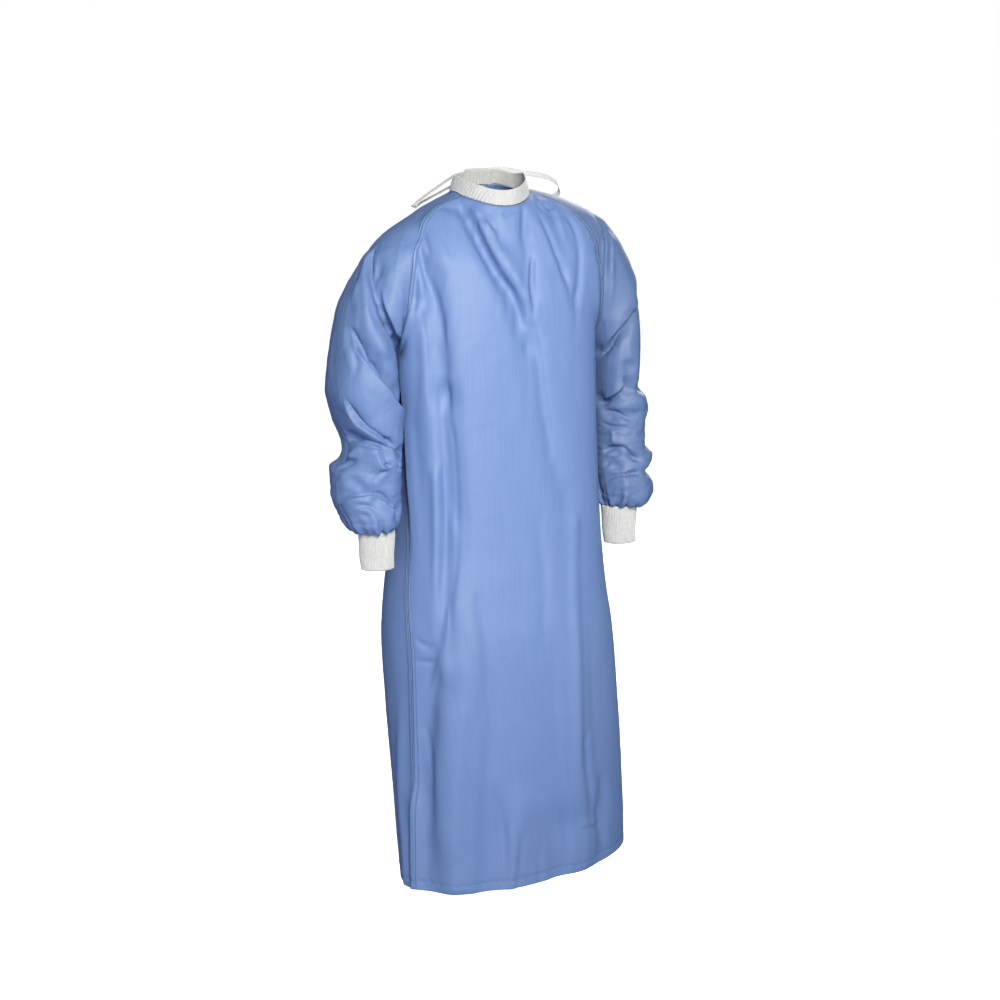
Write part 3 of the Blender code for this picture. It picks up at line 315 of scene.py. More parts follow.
# ---------------------------------------------------------------- folds
HELD_WIDTH = 0.014             # beside a sewn edge, folds run out over this width
HELD_ROWS = 14                 # and over this many rows where a sleeve's seam closes
OFF_PANEL = 0.018              # a path that starts further off than this is on another panel
PATH_SLACK = 0.003             # how far a place on the cloth may be from the path's own height
START_FADE = 0.026             # a crease starts sharply and runs out slowly
END_SHARE = 0.42               # of its length, over which it runs out
STEP_START = 1.8               # an overlap starts more slowly, and ends more sharply
STEP_END_SHARE = 0.22
WAVER = 0.08                   # how much a crease's depth comes and goes
CORNER_ROUND = 0.0035          # how soft the line of a corner is
STEP_SHARP = 0.30              # an overlap's line, in its widths
STEP_REACH = 4.0               # an overlap's soft shoulders, in its widths
STEP_GROOVE = 0.55             # the groove under its line, in its depths
ROLL_AWAY = 1.9                # from a trough to its roll, in its widths
ROLL_WIDE = 1.5
ROLL_SHARE = 0.30

UNEVEN = {"body": 0.00012, "sleeve": 0.0003}   # how high the soft unevenness stands
UNEVEN_WAVES = 26
UNEVEN_LENGTHS = (0.030, 0.110)
UNEVEN_SEED = 7
FACETS = {"body": 0.0003, "sleeve": 0.0008}    # and the sharp small ridges
FACET_WAVES = 7
FACET_LENGTHS = (0.045, 0.085)
FACET_BEND = 0.13              # the length of the waves that bend a facet's edges
FACET_LIMIT = 1.6              # the most that crossing facets add up to, in their sizes
FACET_SEED = 11
LOWER_ARM_FACETS = 0.0013
LOWER_ARM_LENGTHS = (0.030, 0.060)
LOWER_ARM_SEED = 23
LOWER_ARM = (0.40, 0.12)       # where on the sleeve they start, and over what length they grow
BELOW_NECK = (0.07, 0.09)      # where on a panel the other facets start and grow
NECK_HELD = 0.008              # folds run out above this, where the neckline is sewn

SEAM_PUCKER = 0.00045
SEAM_PUCKER_STEP = 0.0017      # metres along the cut for each radian of a pucker
SEAM_PUCKER_AT = (0.0085, 0.0055)      # the middle and half width of the puckered band
HEM_PUCKER = 0.0008
HEM_PUCKER_STEP = 0.0024
HEM_DENT = 0.0011              # how far the hem's stitches pull the cloth in
HEM_DENT_WIDTH = 0.0022
HEM_PUCKER_WIDTH = 0.0090
WRIST_PLEATS = 16
WRIST_GATHER = 0.0042
GATHER_REACH = 0.042


def smooth(value):
    value = np.clip(value, 0.0, 1.0)
    return value * value * (3.0 - 2.0 * value)


def bell(value):
    return np.exp(-value ** 2)


def on_cloth(grid, normals, face, path):
    """The points of a path given as (x, z), laid on the cloth's front or back."""
    looks = normals[..., 1] * (-1.0 if face == "front" else 1.0) > 0.0
    found = []
    for x, z in path:
        gap = (grid[..., 0] - x) ** 2 + (grid[..., 2] - z) ** 2
        gap = np.where(looks, gap, np.inf)
        if gap.min() > OFF_PANEL ** 2:
            return None
        place = grid.reshape(-1, 3)[int(np.argmin(gap))].copy()
        if abs(place[2] - z) > PATH_SLACK:
            place[[0, 2]] = x, z
        found.append(place)
    found = np.array(found)
    steps = np.linspace(0.0, length_of(found), 4 * len(found))
    return curve(found, steps) if len(found) > 2 else found


def crease(points, normals, kind, width, depth, path):
    """How far one crease moves each point.

    A trough has a roll beside it, to the left or right of its way; a step is an overlap, high on
    one side of a sharp line and low on the other; a corner has a flat slope on both its sides.
    """
    start, size = lengths_along(path)
    step = np.diff(path, axis=0)
    nearest = np.full(points.shape[:2], np.inf)
    at = np.zeros(points.shape[:2])
    side = np.zeros(points.shape[:2])
    for k in range(len(step)):
        along = step[k] / size[k]
        away = points - path[k]
        t = np.clip(away @ along, 0.0, size[k])
        away = away - t[..., None] * along
        gap = np.linalg.norm(away, axis=2)
        closer = gap < nearest
        nearest = np.where(closer, gap, nearest)
        at = np.where(closer, (start[k] + t) / start[-1], at)
        hand = np.einsum("ijk,ijk->ij", np.cross(along, away), normals)
        side = np.where(closer, np.where(hand < 0, -gap, gap), side)
    whole = start[-1]
    share = STEP_END_SHARE if kind == "step" else END_SHARE
    begin = START_FADE * (STEP_START if kind == "step" else 1.0)
    ends = smooth(at * whole / min(begin, 0.3 * whole)) * smooth((1.0 - at) / share)
    ends = np.where((at <= 0.0) | (at >= 1.0), 0.0, ends)
    ends = ends * (1.0 - WAVER + WAVER * np.sin(9.0 * at + 40.0 * path[0].sum()))
    if kind == "step":
        shape = np.tanh(side / (STEP_SHARP * width))
        shape = shape * np.exp(-(nearest / (STEP_REACH * width)) ** 1.5)
        under = -side if depth > 0 else side
        groove = bell((under - 0.9 * width) / (0.75 * width))
        return ends * (depth * shape - STEP_GROOVE * abs(depth) * groove)
    if kind == "corner":
        slant = np.sqrt(side ** 2 + CORNER_ROUND ** 2) - CORNER_ROUND
        shape = np.maximum(1.0 - slant / width, 0.0)
        return ends * depth * shape * smooth(2.0 * shape)
    trough = bell(nearest / width)
    if kind == "plain":
        return ends * depth * trough
    middle = ROLL_AWAY * width * (-1.0 if kind == "left" else 1.0)
    roll = bell((side - middle) / (ROLL_WIDE * width))
    roll = roll * bell(np.maximum(nearest - 2.0 * ROLL_WIDE * width, 0.0) / width)
    return ends * depth * (trough - ROLL_SHARE * roll)


def with_creases(grid, normals, table):
    moved = np.zeros(grid.shape[:2])
    for face, rows in table.items():
        for kind, width, depth, path in rows:
            laid = on_cloth(grid, normals, face, path)
            if laid is not None:
                moved += crease(grid, normals, kind, width, depth, laid)
    return moved


def unevenness(grid, size):
    """The soft irregular surface of cloth that has been folded and worn."""
    chance = np.random.default_rng(UNEVEN_SEED)
    moved = np.zeros(grid.shape[:2])
    for _ in range(UNEVEN_WAVES):
        way = chance.normal(size=3)
        way = way / np.linalg.norm(way) * 2.0 * math.pi / chance.uniform(*UNEVEN_LENGTHS)
        moved += np.sin(grid @ way + chance.uniform(0.0, 2.0 * math.pi))
    return moved * size / math.sqrt(UNEVEN_WAVES / 2.0)


def facets(grid, size, seed, lengths):
    """Flat places between sharp small ridges, as in crisp cloth that has been bent both ways."""
    chance = np.random.default_rng(seed)
    moved = np.zeros(grid.shape[:2])
    for _ in range(FACET_WAVES):
        way = chance.normal(size=3) * np.array([0.8, 0.8, 1.0])
        way = way / np.linalg.norm(way) * math.pi / chance.uniform(*lengths)
        bend = chance.normal(size=3)
        bend = bend / np.linalg.norm(bend) * 2.0 * math.pi / FACET_BEND
        turn = grid @ way + 0.55 * np.sin(grid @ bend + chance.uniform(0.0, 6.0))
        ridge = (1.0 - np.abs(np.sin(turn + chance.uniform(0.0, 3.0)))) ** 5.0
        share = 0.5 + 0.5 * np.sin(grid @ bend[::-1] * 0.6 + chance.uniform(0.0, 6.0))
        moved += (1.0 if chance.random() < 0.5 else -1.0) * ridge * share
    return FACET_LIMIT * size * np.tanh(moved / FACET_LIMIT)


def held_by_seams(from_left, from_right, loop_from):
    """Folds flatten out at a sewn edge, where two pieces must meet."""
    share = smooth(np.minimum(from_left, from_right) / HELD_WIDTH)
    if loop_from is None:
        return share
    past = np.arange(len(share)) - loop_from
    free = smooth((past + 1.0) / HELD_ROWS)[:, None]
    return share * (1.0 - free) + free


def seam_puckers(beside, flat):
    """Small puckers that the thread draws up beside a seam."""
    down_way = -flat[..., 1]
    wave = np.sin(down_way / SEAM_PUCKER_STEP + 2.0 * np.sin(down_way / 0.013))
    wave = wave * (0.6 + 0.4 * np.sin(down_way / 0.031))
    middle, wide = SEAM_PUCKER_AT
    return SEAM_PUCKER * wave * bell((beside - middle) / wide) * smooth(beside / 0.004)


def above_end(flat):
    """How far each point lies above the piece's lower end, on the cut."""
    return flat[..., 1] - flat[-1:, :, 1]


def hem_puckers(flat):
    """The hem's stitches pull the cloth in a little, more in some places than in others."""
    up = above_end(flat)
    over = flat[..., 0]
    wave = np.sin(over / HEM_PUCKER_STEP + 1.8 * np.sin(over / 0.017) + up / 0.004)
    line = bell((up - HEM_DEPTH) / HEM_DENT_WIDTH)
    around = bell((up - HEM_DEPTH) / HEM_PUCKER_WIDTH)
    return -HEM_DENT * line + HEM_PUCKER * wave * around * (0.6 + 0.4 * np.sin(over / 0.045))


def wrist_gathers(flat):
    """The sleeve's end is gathered into its cuff: uneven small pleats that run out upwards."""
    up = above_end(flat)
    whole = flat[:, -1:, 0] - flat[:, :1, 0]
    turn = 2.0 * math.pi * (flat[..., 0] - flat[:, :1, 0]) / whole
    pleats = np.sin(WRIST_PLEATS * turn + 1.4 * np.sin(3.0 * turn) + 0.8 * np.sin(5.0 * turn + 1.0))
    strength = 0.70 + 0.30 * np.sin(4.0 * turn + 2.0)
    reach = GATHER_REACH * (0.75 + 0.35 * np.sin(6.0 * turn + 0.5))
    fade = np.exp(-(up / reach) ** 1.4) * (0.35 + 0.65 * smooth(up / 0.008))
    return WRIST_GATHER * pleats * strength * fade


# The side of the cloth, then a row for each crease: its kind (left or right is the side of its
# roll, seen going down the path), width, depth (negative inwards), and its path as (x, z).
FRONT_CREASES = {
    "front": (
        # from the neckline's right end across the chest
        ("right", 0.008, -0.0078, ((-0.072, -0.013), (-0.061, -0.049), (-0.045, -0.099), (-0.023, -0.142),
          (-0.006, -0.168), (0.005, -0.197), (0.026, -0.252))),
        ("plain", 0.005, 0.0024, ((-0.054, -0.023), (-0.046, -0.049), (-0.039, -0.079), (-0.03, -0.109),
          (-0.013, -0.147))),
        ("left", 0.0043, -0.0029, ((-0.05, -0.035), (-0.044, -0.057), (-0.036, -0.087),
          (-0.028, -0.112))),
        ("left", 0.0045, -0.0027, ((-0.04, -0.043), (-0.03, -0.057), (-0.019, -0.068))),
        ("right", 0.0054, -0.003, ((-0.015, -0.044), (0.003, -0.035), (0.024, -0.028))),
        ("plain", 0.0078, -0.0039, ((-0.115, -0.032), (-0.101, -0.026), (-0.088, -0.03),
          (-0.077, -0.037))),
        # down the middle of the chest
        ("right", 0.0067, -0.0045, ((0.03, -0.02), (0.029, -0.045), (0.023, -0.078), (0.024, -0.1))),
        ("plain", 0.0039, 0.0024, ((0.031, -0.093), (0.02, -0.137), (0.014, -0.165))),
        ("left", 0.0047, -0.0033, ((0.033, -0.096), (0.027, -0.147), (0.026, -0.188), (0.025, -0.225))),
        ("left", 0.0084, -0.0042, ((0.025, -0.2), (0.033, -0.273), (0.042, -0.339), (0.05, -0.389),
          (0.066, -0.47))),
        # below the neckline's left end
        ("right", 0.0045, -0.0033, ((0.06, -0.008), (0.063, -0.028), (0.069, -0.041))),
        ("left", 0.0045, -0.0039, ((0.068, -0.02), (0.083, -0.031), (0.102, -0.022))),
        ("left", 0.0062, -0.0045, ((0.057, -0.038), (0.068, -0.068), (0.077, -0.102), (0.089, -0.139),
          (0.096, -0.165), (0.098, -0.215))),
        ("plain", 0.0056, 0.003, ((0.098, -0.029), (0.099, -0.056), (0.099, -0.09))),
        ("left", 0.0073, -0.0045, ((0.112, -0.039), (0.124, -0.065), (0.123, -0.103), (0.119, -0.15),
          (0.109, -0.191), (0.106, -0.25))),
        ("plain", 0.008, -0.003, ((-0.08, -0.016), (-0.071, -0.046), (-0.062, -0.074), (-0.049, -0.106),
          (-0.036, -0.136), (-0.022, -0.163), (-0.005, -0.192))),
        # from the right raglan seam down the whole front
        ("plain", 0.011, -0.006, ((-0.15, -0.095), (-0.146, -0.13), (-0.138, -0.165), (-0.133, -0.195),
          (-0.13, -0.23), (-0.128, -0.265), (-0.124, -0.335), (-0.121, -0.399), (-0.118, -0.465),
          (-0.117, -0.53), (-0.119, -0.595), (-0.125, -0.661), (-0.136, -0.726), (-0.149, -0.811),
          (-0.161, -0.899))),
        ("corner", 0.042, 0.011, ((-0.175, -0.165), (-0.173, -0.24), (-0.172, -0.305), (-0.171, -0.371),
          (-0.171, -0.437), (-0.172, -0.502), (-0.174, -0.568), (-0.178, -0.666))),
        ("corner", 0.056, 0.0165, ((-0.121, -1.174), (-0.121, -1.06), (-0.115, -0.97), (-0.108, -0.86),
          (-0.105, -0.76), (-0.112, -0.66), (-0.116, -0.56))),
        ("plain", 0.023, -0.01, ((-0.15, -1.174), (-0.154, -1.05), (-0.156, -0.967), (-0.154, -0.88),
          (-0.149, -0.78), (-0.144, -0.68))),
        ("corner", 0.045, 0.0085, ((0.128, -1.174), (0.122, -1.06), (0.106, -0.957), (0.096, -0.85),
          (0.09, -0.74), (0.092, -0.62))),
        ("left", 0.0039, -0.0024, ((-0.14, -0.063), (-0.136, -0.089), (-0.134, -0.11))),
        ("left", 0.0056, -0.0015, ((-0.115, -0.067), (-0.105, -0.091), (-0.1, -0.12))),
        ("left", 0.006, -0.0045, ((-0.149, -0.08), (-0.147, -0.099), (-0.142, -0.128), (-0.132, -0.159),
          (-0.126, -0.189), (-0.122, -0.222), (-0.119, -0.259), (-0.116, -0.3))),
        ("left", 0.0045, -0.0022, ((-0.119, -0.259), (-0.112, -0.335), (-0.109, -0.399), (-0.105, -0.464),
          (-0.104, -0.521), (-0.107, -0.577), (-0.115, -0.65), (-0.124, -0.713), (-0.142, -0.77),
          (-0.153, -0.837))),
        ("left", 0.0056, -0.0033, ((-0.146, -0.18), (-0.14, -0.235), (-0.138, -0.3), (-0.134, -0.38))),
        ("plain", 0.0067, 0.0045, ((-0.137, -0.44), (-0.137, -0.499), (-0.137, -0.577), (-0.143, -0.68))),
        ("left", 0.005, -0.0039, ((-0.122, -0.43), (-0.123, -0.549), (-0.131, -0.635), (-0.139, -0.69))),
        ("plain", 0.005, 0.0039, ((-0.12, -0.66), (-0.128, -0.726), (-0.144, -0.786), (-0.159, -0.85))),
        ("left", 0.005, -0.0036, ((-0.153, -0.105), (-0.159, -0.163), (-0.16, -0.225))),
        ("left", 0.0045, -0.0033, ((-0.172, -0.728), (-0.153, -0.737), (-0.135, -0.732))),
        ("right", 0.0039, -0.0036, ((-0.176, -0.768), (-0.159, -0.763), (-0.141, -0.762))),
        ("left", 0.0039, -0.003, ((-0.18, -0.964), (-0.166, -0.956))),
        ("right", 0.0034, -0.0024, ((-0.178, -0.99), (-0.17, -0.964))),
        ("right", 0.0067, -0.0024, ((-0.16, -0.86), (-0.15, -0.96), (-0.152, -1.06))),
        # the left side and the hem
        ("plain", 0.0112, 0.0045, ((0.099, -0.52), (0.095, -0.708), (0.096, -0.846), (0.104, -0.99),
          (0.112, -1.1))),
        ("right", 0.009, -0.0039, ((0.112, -0.9), (0.133, -1.015), (0.153, -1.1))),
        ("left", 0.0078, -0.0033, ((-0.034, -1.172), (-0.036, -1.07), (-0.04, -0.99))),
        ("right", 0.0073, -0.0033, ((-0.012, -1.172), (-0.006, -1.095), (0.003, -1.04))),
        ("left", 0.0067, -0.0021, ((0.034, -1.172), (0.03, -1.08))),
        ("right", 0.005, -0.0033, ((0.108, -1.082), (0.14, -1.086), (0.17, -1.094))),
        ("left", 0.009, -0.0024, ((-0.08, -0.64), (-0.07, -0.76), (-0.078, -0.9))),
        ("right", 0.0101, -0.0021, ((0.03, -0.52), (0.036, -0.64), (0.028, -0.8))),
    ),
}
BACK_CREASES = {
    "front": (
        ("plain", 0.01, 0.0065, ((-0.181, -1.172), (-0.18, -1.1), (-0.181, -1.0), (-0.182, -0.9),
          (-0.184, -0.8))),
    ),
    "back": (
        ("left", 0.0079, -0.0078, ((-0.06, -0.04), (-0.075, -0.11), (-0.084, -0.2), (-0.078, -0.3))),
        ("right", 0.0079, -0.0074, ((0.058, -0.036), (0.078, -0.1), (0.092, -0.19), (0.088, -0.31))),
        ("right", 0.006, -0.0048, ((0.108, -0.06), (0.122, -0.13), (0.124, -0.215))),
        ("left", 0.006, -0.0048, ((-0.106, -0.07), (-0.124, -0.14), (-0.127, -0.23))),
        ("left", 0.0066, -0.0066, ((-0.072, -0.424), (-0.11, -0.4), (-0.146, -0.386))),
        ("right", 0.0066, -0.0066, ((0.076, -0.42), (0.108, -0.398), (0.142, -0.39))),
        ("left", 0.0072, -0.0061, ((-0.064, -0.432), (-0.094, -0.47), (-0.12, -0.56))),
        ("right", 0.0072, -0.0061, ((0.07, -0.43), (0.1, -0.476), (0.124, -0.56))),
        ("left", 0.0092, -0.0078, ((-0.12, -0.5), (-0.116, -0.65), (-0.108, -0.82), (-0.094, -1.0),
          (-0.086, -1.14))),
        ("right", 0.0092, -0.0078, ((0.122, -0.5), (0.134, -0.66), (0.146, -0.83), (0.166, -1.0),
          (0.178, -1.13))),
        ("right", 0.0086, -0.0056, ((-0.062, -0.52), (-0.056, -0.7), (-0.064, -0.9))),
        ("left", 0.0086, -0.0051, ((0.066, -0.54), (0.072, -0.72), (0.066, -0.93))),
        ("left", 0.0079, -0.0048, ((0.1, -0.9), (0.112, -1.02), (0.118, -1.14))),
        ("right", 0.0072, -0.0043, ((-0.14, -0.98), (-0.146, -1.14))),
    ),
}
RIGHT_SLEEVE_CREASES = {
    "front": (
        ("left", 0.0048, -0.0082, ((-0.204, -0.085), (-0.216, -0.124), (-0.22, -0.155), (-0.213, -0.191),
          (-0.193, -0.231), (-0.172, -0.262), (-0.16, -0.29))),
        ("plain", 0.006, 0.0036, ((-0.195, -0.08), (-0.223, -0.128), (-0.235, -0.159), (-0.236, -0.197),
          (-0.222, -0.24))),
        ("step", 0.0036, 0.0066, ((-0.208, -0.15), (-0.209, -0.177), (-0.195, -0.214), (-0.172, -0.247),
          (-0.162, -0.27))),
        ("step", 0.0044, -0.0092, ((-0.26, -0.215), (-0.251, -0.254), (-0.225, -0.295), (-0.192, -0.341),
          (-0.17, -0.378), (-0.158, -0.405))),
        ("plain", 0.018, -0.012, ((-0.176, -0.262), (-0.17, -0.3), (-0.163, -0.34), (-0.16, -0.385),
          (-0.162, -0.425))),
        ("left", 0.005, -0.0034, ((-0.264, -0.232), (-0.258, -0.256), (-0.257, -0.28), (-0.27, -0.31))),
        ("step", 0.0036, -0.0068, ((-0.275, -0.322), (-0.258, -0.366), (-0.227, -0.391),
          (-0.187, -0.416))),
        ("step", 0.0033, -0.007, ((-0.262, -0.402), (-0.237, -0.403), (-0.213, -0.412),
          (-0.184, -0.425))),
        ("right", 0.004, -0.0052, ((-0.282, -0.449), (-0.261, -0.435), (-0.235, -0.409))),
        ("plain", 0.004, 0.0039, ((-0.28, -0.432), (-0.263, -0.424), (-0.25, -0.408))),
        ("step", 0.0032, -0.0058, ((-0.229, -0.412), (-0.22, -0.436), (-0.205, -0.443))),
        ("right", 0.0032, -0.0034, ((-0.205, -0.442), (-0.231, -0.456), (-0.237, -0.47))),
        ("left", 0.0044, -0.006, ((-0.206, -0.4), (-0.19, -0.437), (-0.172, -0.478))),
        ("step", 0.0038, -0.0052, ((-0.282, -0.51), (-0.265, -0.487), (-0.232, -0.486),
          (-0.192, -0.526))),
        ("left", 0.0038, -0.0044, ((-0.27, -0.5), (-0.25, -0.501), (-0.226, -0.513))),
        ("left", 0.0038, -0.0031, ((-0.262, -0.515), (-0.24, -0.518))),
        ("left", 0.0045, -0.0029, ((-0.284, -0.47), (-0.272, -0.446))),
        ("right", 0.005, -0.0023, ((-0.232, -0.44), (-0.246, -0.476))),
    ),
    "back": (
        ("left", 0.005, -0.0052, ((-0.205, -0.1), (-0.222, -0.16), (-0.212, -0.23), (-0.19, -0.27))),
        ("step", 0.0045, 0.0055, ((-0.262, -0.25), (-0.24, -0.3), (-0.204, -0.344))),
        ("step", 0.004, 0.003, ((-0.252, -0.408), (-0.232, -0.416), (-0.198, -0.432))),
        ("right", 0.0038, -0.0042, ((-0.272, -0.452), (-0.24, -0.462), (-0.206, -0.48))),
        ("left", 0.004, -0.0039, ((-0.266, -0.5), (-0.234, -0.492), (-0.2, -0.512))),
    ),
}
LEFT_SLEEVE_CREASES = {
    "front": (
        ("right", 0.005, -0.0026, ((0.19, -0.022), (0.192, -0.045), (0.19, -0.067), (0.187, -0.091),
          (0.184, -0.115))),
        ("right", 0.0042, -0.0075, ((0.192, -0.062), (0.187, -0.091), (0.184, -0.115), (0.178, -0.14),
          (0.173, -0.17))),
        ("step", 0.0038, -0.0078, ((0.25, -0.18), (0.224, -0.208), (0.206, -0.229), (0.193, -0.254),
          (0.184, -0.282))),
        ("plain", 0.006, 0.0034, ((0.19, -0.11), (0.19, -0.168), (0.184, -0.205))),
        ("step", 0.0032, -0.0057, ((0.21, -0.308), (0.213, -0.33), (0.203, -0.341), (0.193, -0.353),
          (0.185, -0.36))),
        ("left", 0.0034, -0.0047, ((0.184, -0.375), (0.204, -0.376), (0.226, -0.386), (0.242, -0.386))),
        ("right", 0.0034, -0.0044, ((0.184, -0.392), (0.193, -0.397), (0.218, -0.401), (0.23, -0.406))),
        ("plain", 0.004, 0.0039, ((0.196, -0.403), (0.198, -0.43))),
        ("right", 0.0036, -0.0052, ((0.184, -0.456), (0.195, -0.436), (0.212, -0.436), (0.228, -0.452),
          (0.258, -0.468))),
        ("left", 0.0034, -0.0039, ((0.184, -0.471), (0.196, -0.453), (0.212, -0.44))),
        ("left", 0.0038, -0.0057, ((0.185, -0.492), (0.195, -0.48), (0.215, -0.478), (0.256, -0.476))),
        ("plain", 0.005, 0.0039, ((0.192, -0.52), (0.202, -0.5), (0.24, -0.497))),
        ("plain", 0.006, -0.0018, ((0.212, -0.245), (0.217, -0.285), (0.228, -0.325))),
        ("left", 0.0036, -0.0029, ((0.236, -0.412), (0.252, -0.42))),
    ),
    "back": (
        ("right", 0.0048, -0.0052, ((0.212, -0.09), (0.222, -0.16), (0.206, -0.23))),
        ("step", 0.0044, -0.0055, ((0.258, -0.24), (0.236, -0.29), (0.204, -0.33))),
        ("step", 0.0036, -0.0055, ((0.27, -0.37), (0.238, -0.378), (0.202, -0.396))),
        ("left", 0.0036, -0.0044, ((0.274, -0.43), (0.24, -0.438), (0.204, -0.456))),
        ("right", 0.0038, -0.0042, ((0.272, -0.486), (0.238, -0.478), (0.204, -0.492))),
    ),
}


# ---------------------------------------------------------------- cloth meshes
def placed(name, data):
    """A new object of the scene, at the origin."""
    obj = bpy.data.objects.new(name, data)
    bpy.context.scene.collection.objects.link(obj)
    return obj


def instead_of(node, piece):
    """Puts a finished piece in the place of its CAD node."""
    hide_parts(node)
    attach(piece, "root")
    return piece


def cut_of(grid):
    """The cut in metres: across from the middle column, down from the first row."""
    middle = grid.shape[1] // 2
    over = np.linalg.norm(np.diff(grid, axis=1), axis=2)
    over = np.concatenate((np.zeros((len(grid), 1)), np.cumsum(over, axis=1)), axis=1)
    over = over - over[:, middle][:, None]
    drop, _ = lengths_along(grid[:, middle])
    return np.stack((over, np.broadcast_to(-drop[:, None], over.shape)), axis=-1)


def corners_of(index):
    """The four corners of each square of a grid."""
    return np.stack((index[:-1, :-1], index[1:, :-1], index[1:, 1:], index[:-1, 1:]), axis=-1)


def cloth_object(name, grid, flat, thick, material, fell=None, loop_from=None):
    """A sheet from its fine grid, with its cut in metres as its UV map.

    The attribute fell is each point's distance from the nearest felled edge.
    """
    fell = np.full(grid.shape[:2], FAR) if fell is None else fell
    own = np.arange(fell.size).reshape(fell.shape)
    index = own.copy()
    if loop_from is not None:
        index[loop_from:, -1] = index[loop_from:, 0]
    used, quads = np.unique(corners_of(index).reshape(-1, 4), return_inverse=True)
    mesh = bpy.data.meshes.new(name)
    mesh.from_pydata(grid.reshape(-1, 3)[used].tolist(), [], quads.reshape(-1, 4).tolist())
    cut = flat.reshape(-1, 2)[corners_of(own).reshape(-1)]
    uv = mesh.uv_layers.new(name="cut")
    uv.data.foreach_set("uv", cut.astype(np.float32).reshape(-1))
    layer = mesh.attributes.new("fell", "FLOAT", "POINT")
    layer.data.foreach_set("value", fell.reshape(-1)[used].astype(np.float32))
    mesh.shade_smooth()
    mesh.materials.append(material)
    obj = placed(name, mesh)
    wall = obj.modifiers.new("cloth", "SOLIDIFY")
    wall.thickness = thick
    wall.offset = -1.0
    return obj


def turned_hem(grid, normals):
    """Extra rows: round the lower edge and up the inside to the stitches."""
    last = grid[-1]
    out = unit(normals[-1] * np.array([1.0, 1.0, 0.0]))
    lowest = last - 0.5 * HEM_TURN * out - np.array([0.0, 0.0, HEM_FOLD])
    rows = [lowest, last - HEM_TURN * out]
    for back in range(2, len(HEM_STOPS) - 1):
        rows.append(grid[-back] - HEM_TURN * normals[-back])
    return np.array(rows)


def tucked(grid, normals, flat, fell):
    """Adds a narrow seam allowance at both side edges, which runs on under the next panel."""
    for edge, beside in ((0, 1), (-1, -2)):
        way = unit(grid[:, edge] - grid[:, beside])
        strip = grid[:, edge] + TUCK * way - TUCK_UNDER * normals[:, edge]
        on = flat[:, edge] + (flat[:, edge] - flat[:, beside])
        parts = []
        for old, new in zip((grid, normals, flat, fell), (strip, normals[:, edge], on, fell[:, edge])):
            new = new[:, None]
            parts.append(np.concatenate((new, old) if edge == 0 else (old, new), axis=1))
        grid, normals, flat, fell = parts
    return grid, normals, flat, fell


def grown(away, where):
    """A share that starts at the first of these distances and grows over the second."""
    return smooth((away - where[0]) / where[1])


def make_panel(node, columns, creases, material):
    """A panel or a sleeve: its folds laid on its fine sheet, its hem turned up."""
    sleeve = node.startswith("sleeve")
    kind = "sleeve" if sleeve else "body"
    steps, end_stops = (ARM_STEPS, CUFF_STOPS) if sleeve else (BODY_STEPS, HEM_STOPS)
    loop_from = YOKE_STEPS if sleeve else None
    fine = across(down(skin_rows(node), steps, end_stops), columns, loop_from)
    normals = normals_of(fine, loop_from)
    flat = cut_of(fine)
    below = -flat[..., 1]
    from_left = flat[..., 0] - flat[:, :1, 0]
    from_right = flat[:, -1:, 0] - flat[..., 0]
    moved = with_creases(fine, normals, creases) + unevenness(fine, UNEVEN[kind])
    moved += facets(fine, FACETS[kind], FACET_SEED, FACET_LENGTHS) * grown(below, BELOW_NECK)
    if sleeve:
        lower = facets(fine, LOWER_ARM_FACETS, LOWER_ARM_SEED, LOWER_ARM_LENGTHS)
        moved += lower * grown(below, LOWER_ARM)
    moved *= held_by_seams(from_left, from_right, loop_from) * smooth(below / NECK_HELD)
    moved += seam_puckers(from_left, flat) + seam_puckers(from_right, flat)
    moved += wrist_gathers(flat) if sleeve else hem_puckers(flat)
    grid = fine + moved[..., None] * normals
    seen = (grid, normals_of(grid, loop_from))
    fell = np.minimum(from_left if sleeve else np.minimum(from_left, from_right), FAR)
    if not sleeve:
        grid, normals, flat, fell = tucked(*seen, flat, fell)
        more = turned_hem(grid, normals)
        grid = np.concatenate((grid, more))
        extra = np.broadcast_to(flat[-1], (len(more),) + flat.shape[1:]).copy()
        extra[..., 1] -= (HEM_ROW * np.arange(1, len(more) + 1))[:, None]
        flat = np.concatenate((flat, extra))
        fell = np.concatenate((fell, np.full(extra.shape[:2], FAR)))
    obj = cloth_object("gown_" + node, grid, flat, CLOTH_THICK, material, fell, loop_from)
    return instead_of(node, obj), seen


# ---------------------------------------------------------------- materials
CLOTH_TONES = ((0.094, 0.172, 0.410), (0.112, 0.194, 0.442))
# painted shade: how much darker each sleeve's cloth is than the body's, standing in for the shade on the
# sleeves
SLEEVE_PAINTED_SHADE = {"sleeve_right": 0.93, "sleeve_left": 0.75}
KNIT_TONES = ((0.38, 0.405, 0.45), (0.47, 0.495, 0.54))
BAND_TONES = ((0.34, 0.37, 0.425), (0.43, 0.455, 0.51))
TAPE_TONES = ((0.42, 0.45, 0.50), (0.50, 0.525, 0.57))
THREAD_TONES = ((0.045, 0.090, 0.270), (0.05625, 0.1125, 0.3375))

WARP_PITCH, WEFT_PITCH = 0.00060, 0.00068      # the gown's threads, from one to the next
BAND_WARP, BAND_WEFT = 0.00070, 0.00080
KNIT_PITCH = 0.00110           # one row of knit loops
TWILL_PITCH = 0.0009
FELL_SLOPE = 0.0006            # the flat seam falls away over twice this
DENT_HALF = 0.0015             # half the width of the dent that a row of stitches draws
DENT_DEEP = 1.1                # its depth, in the felled seam's heights
FELL_HIGH = 0.0011


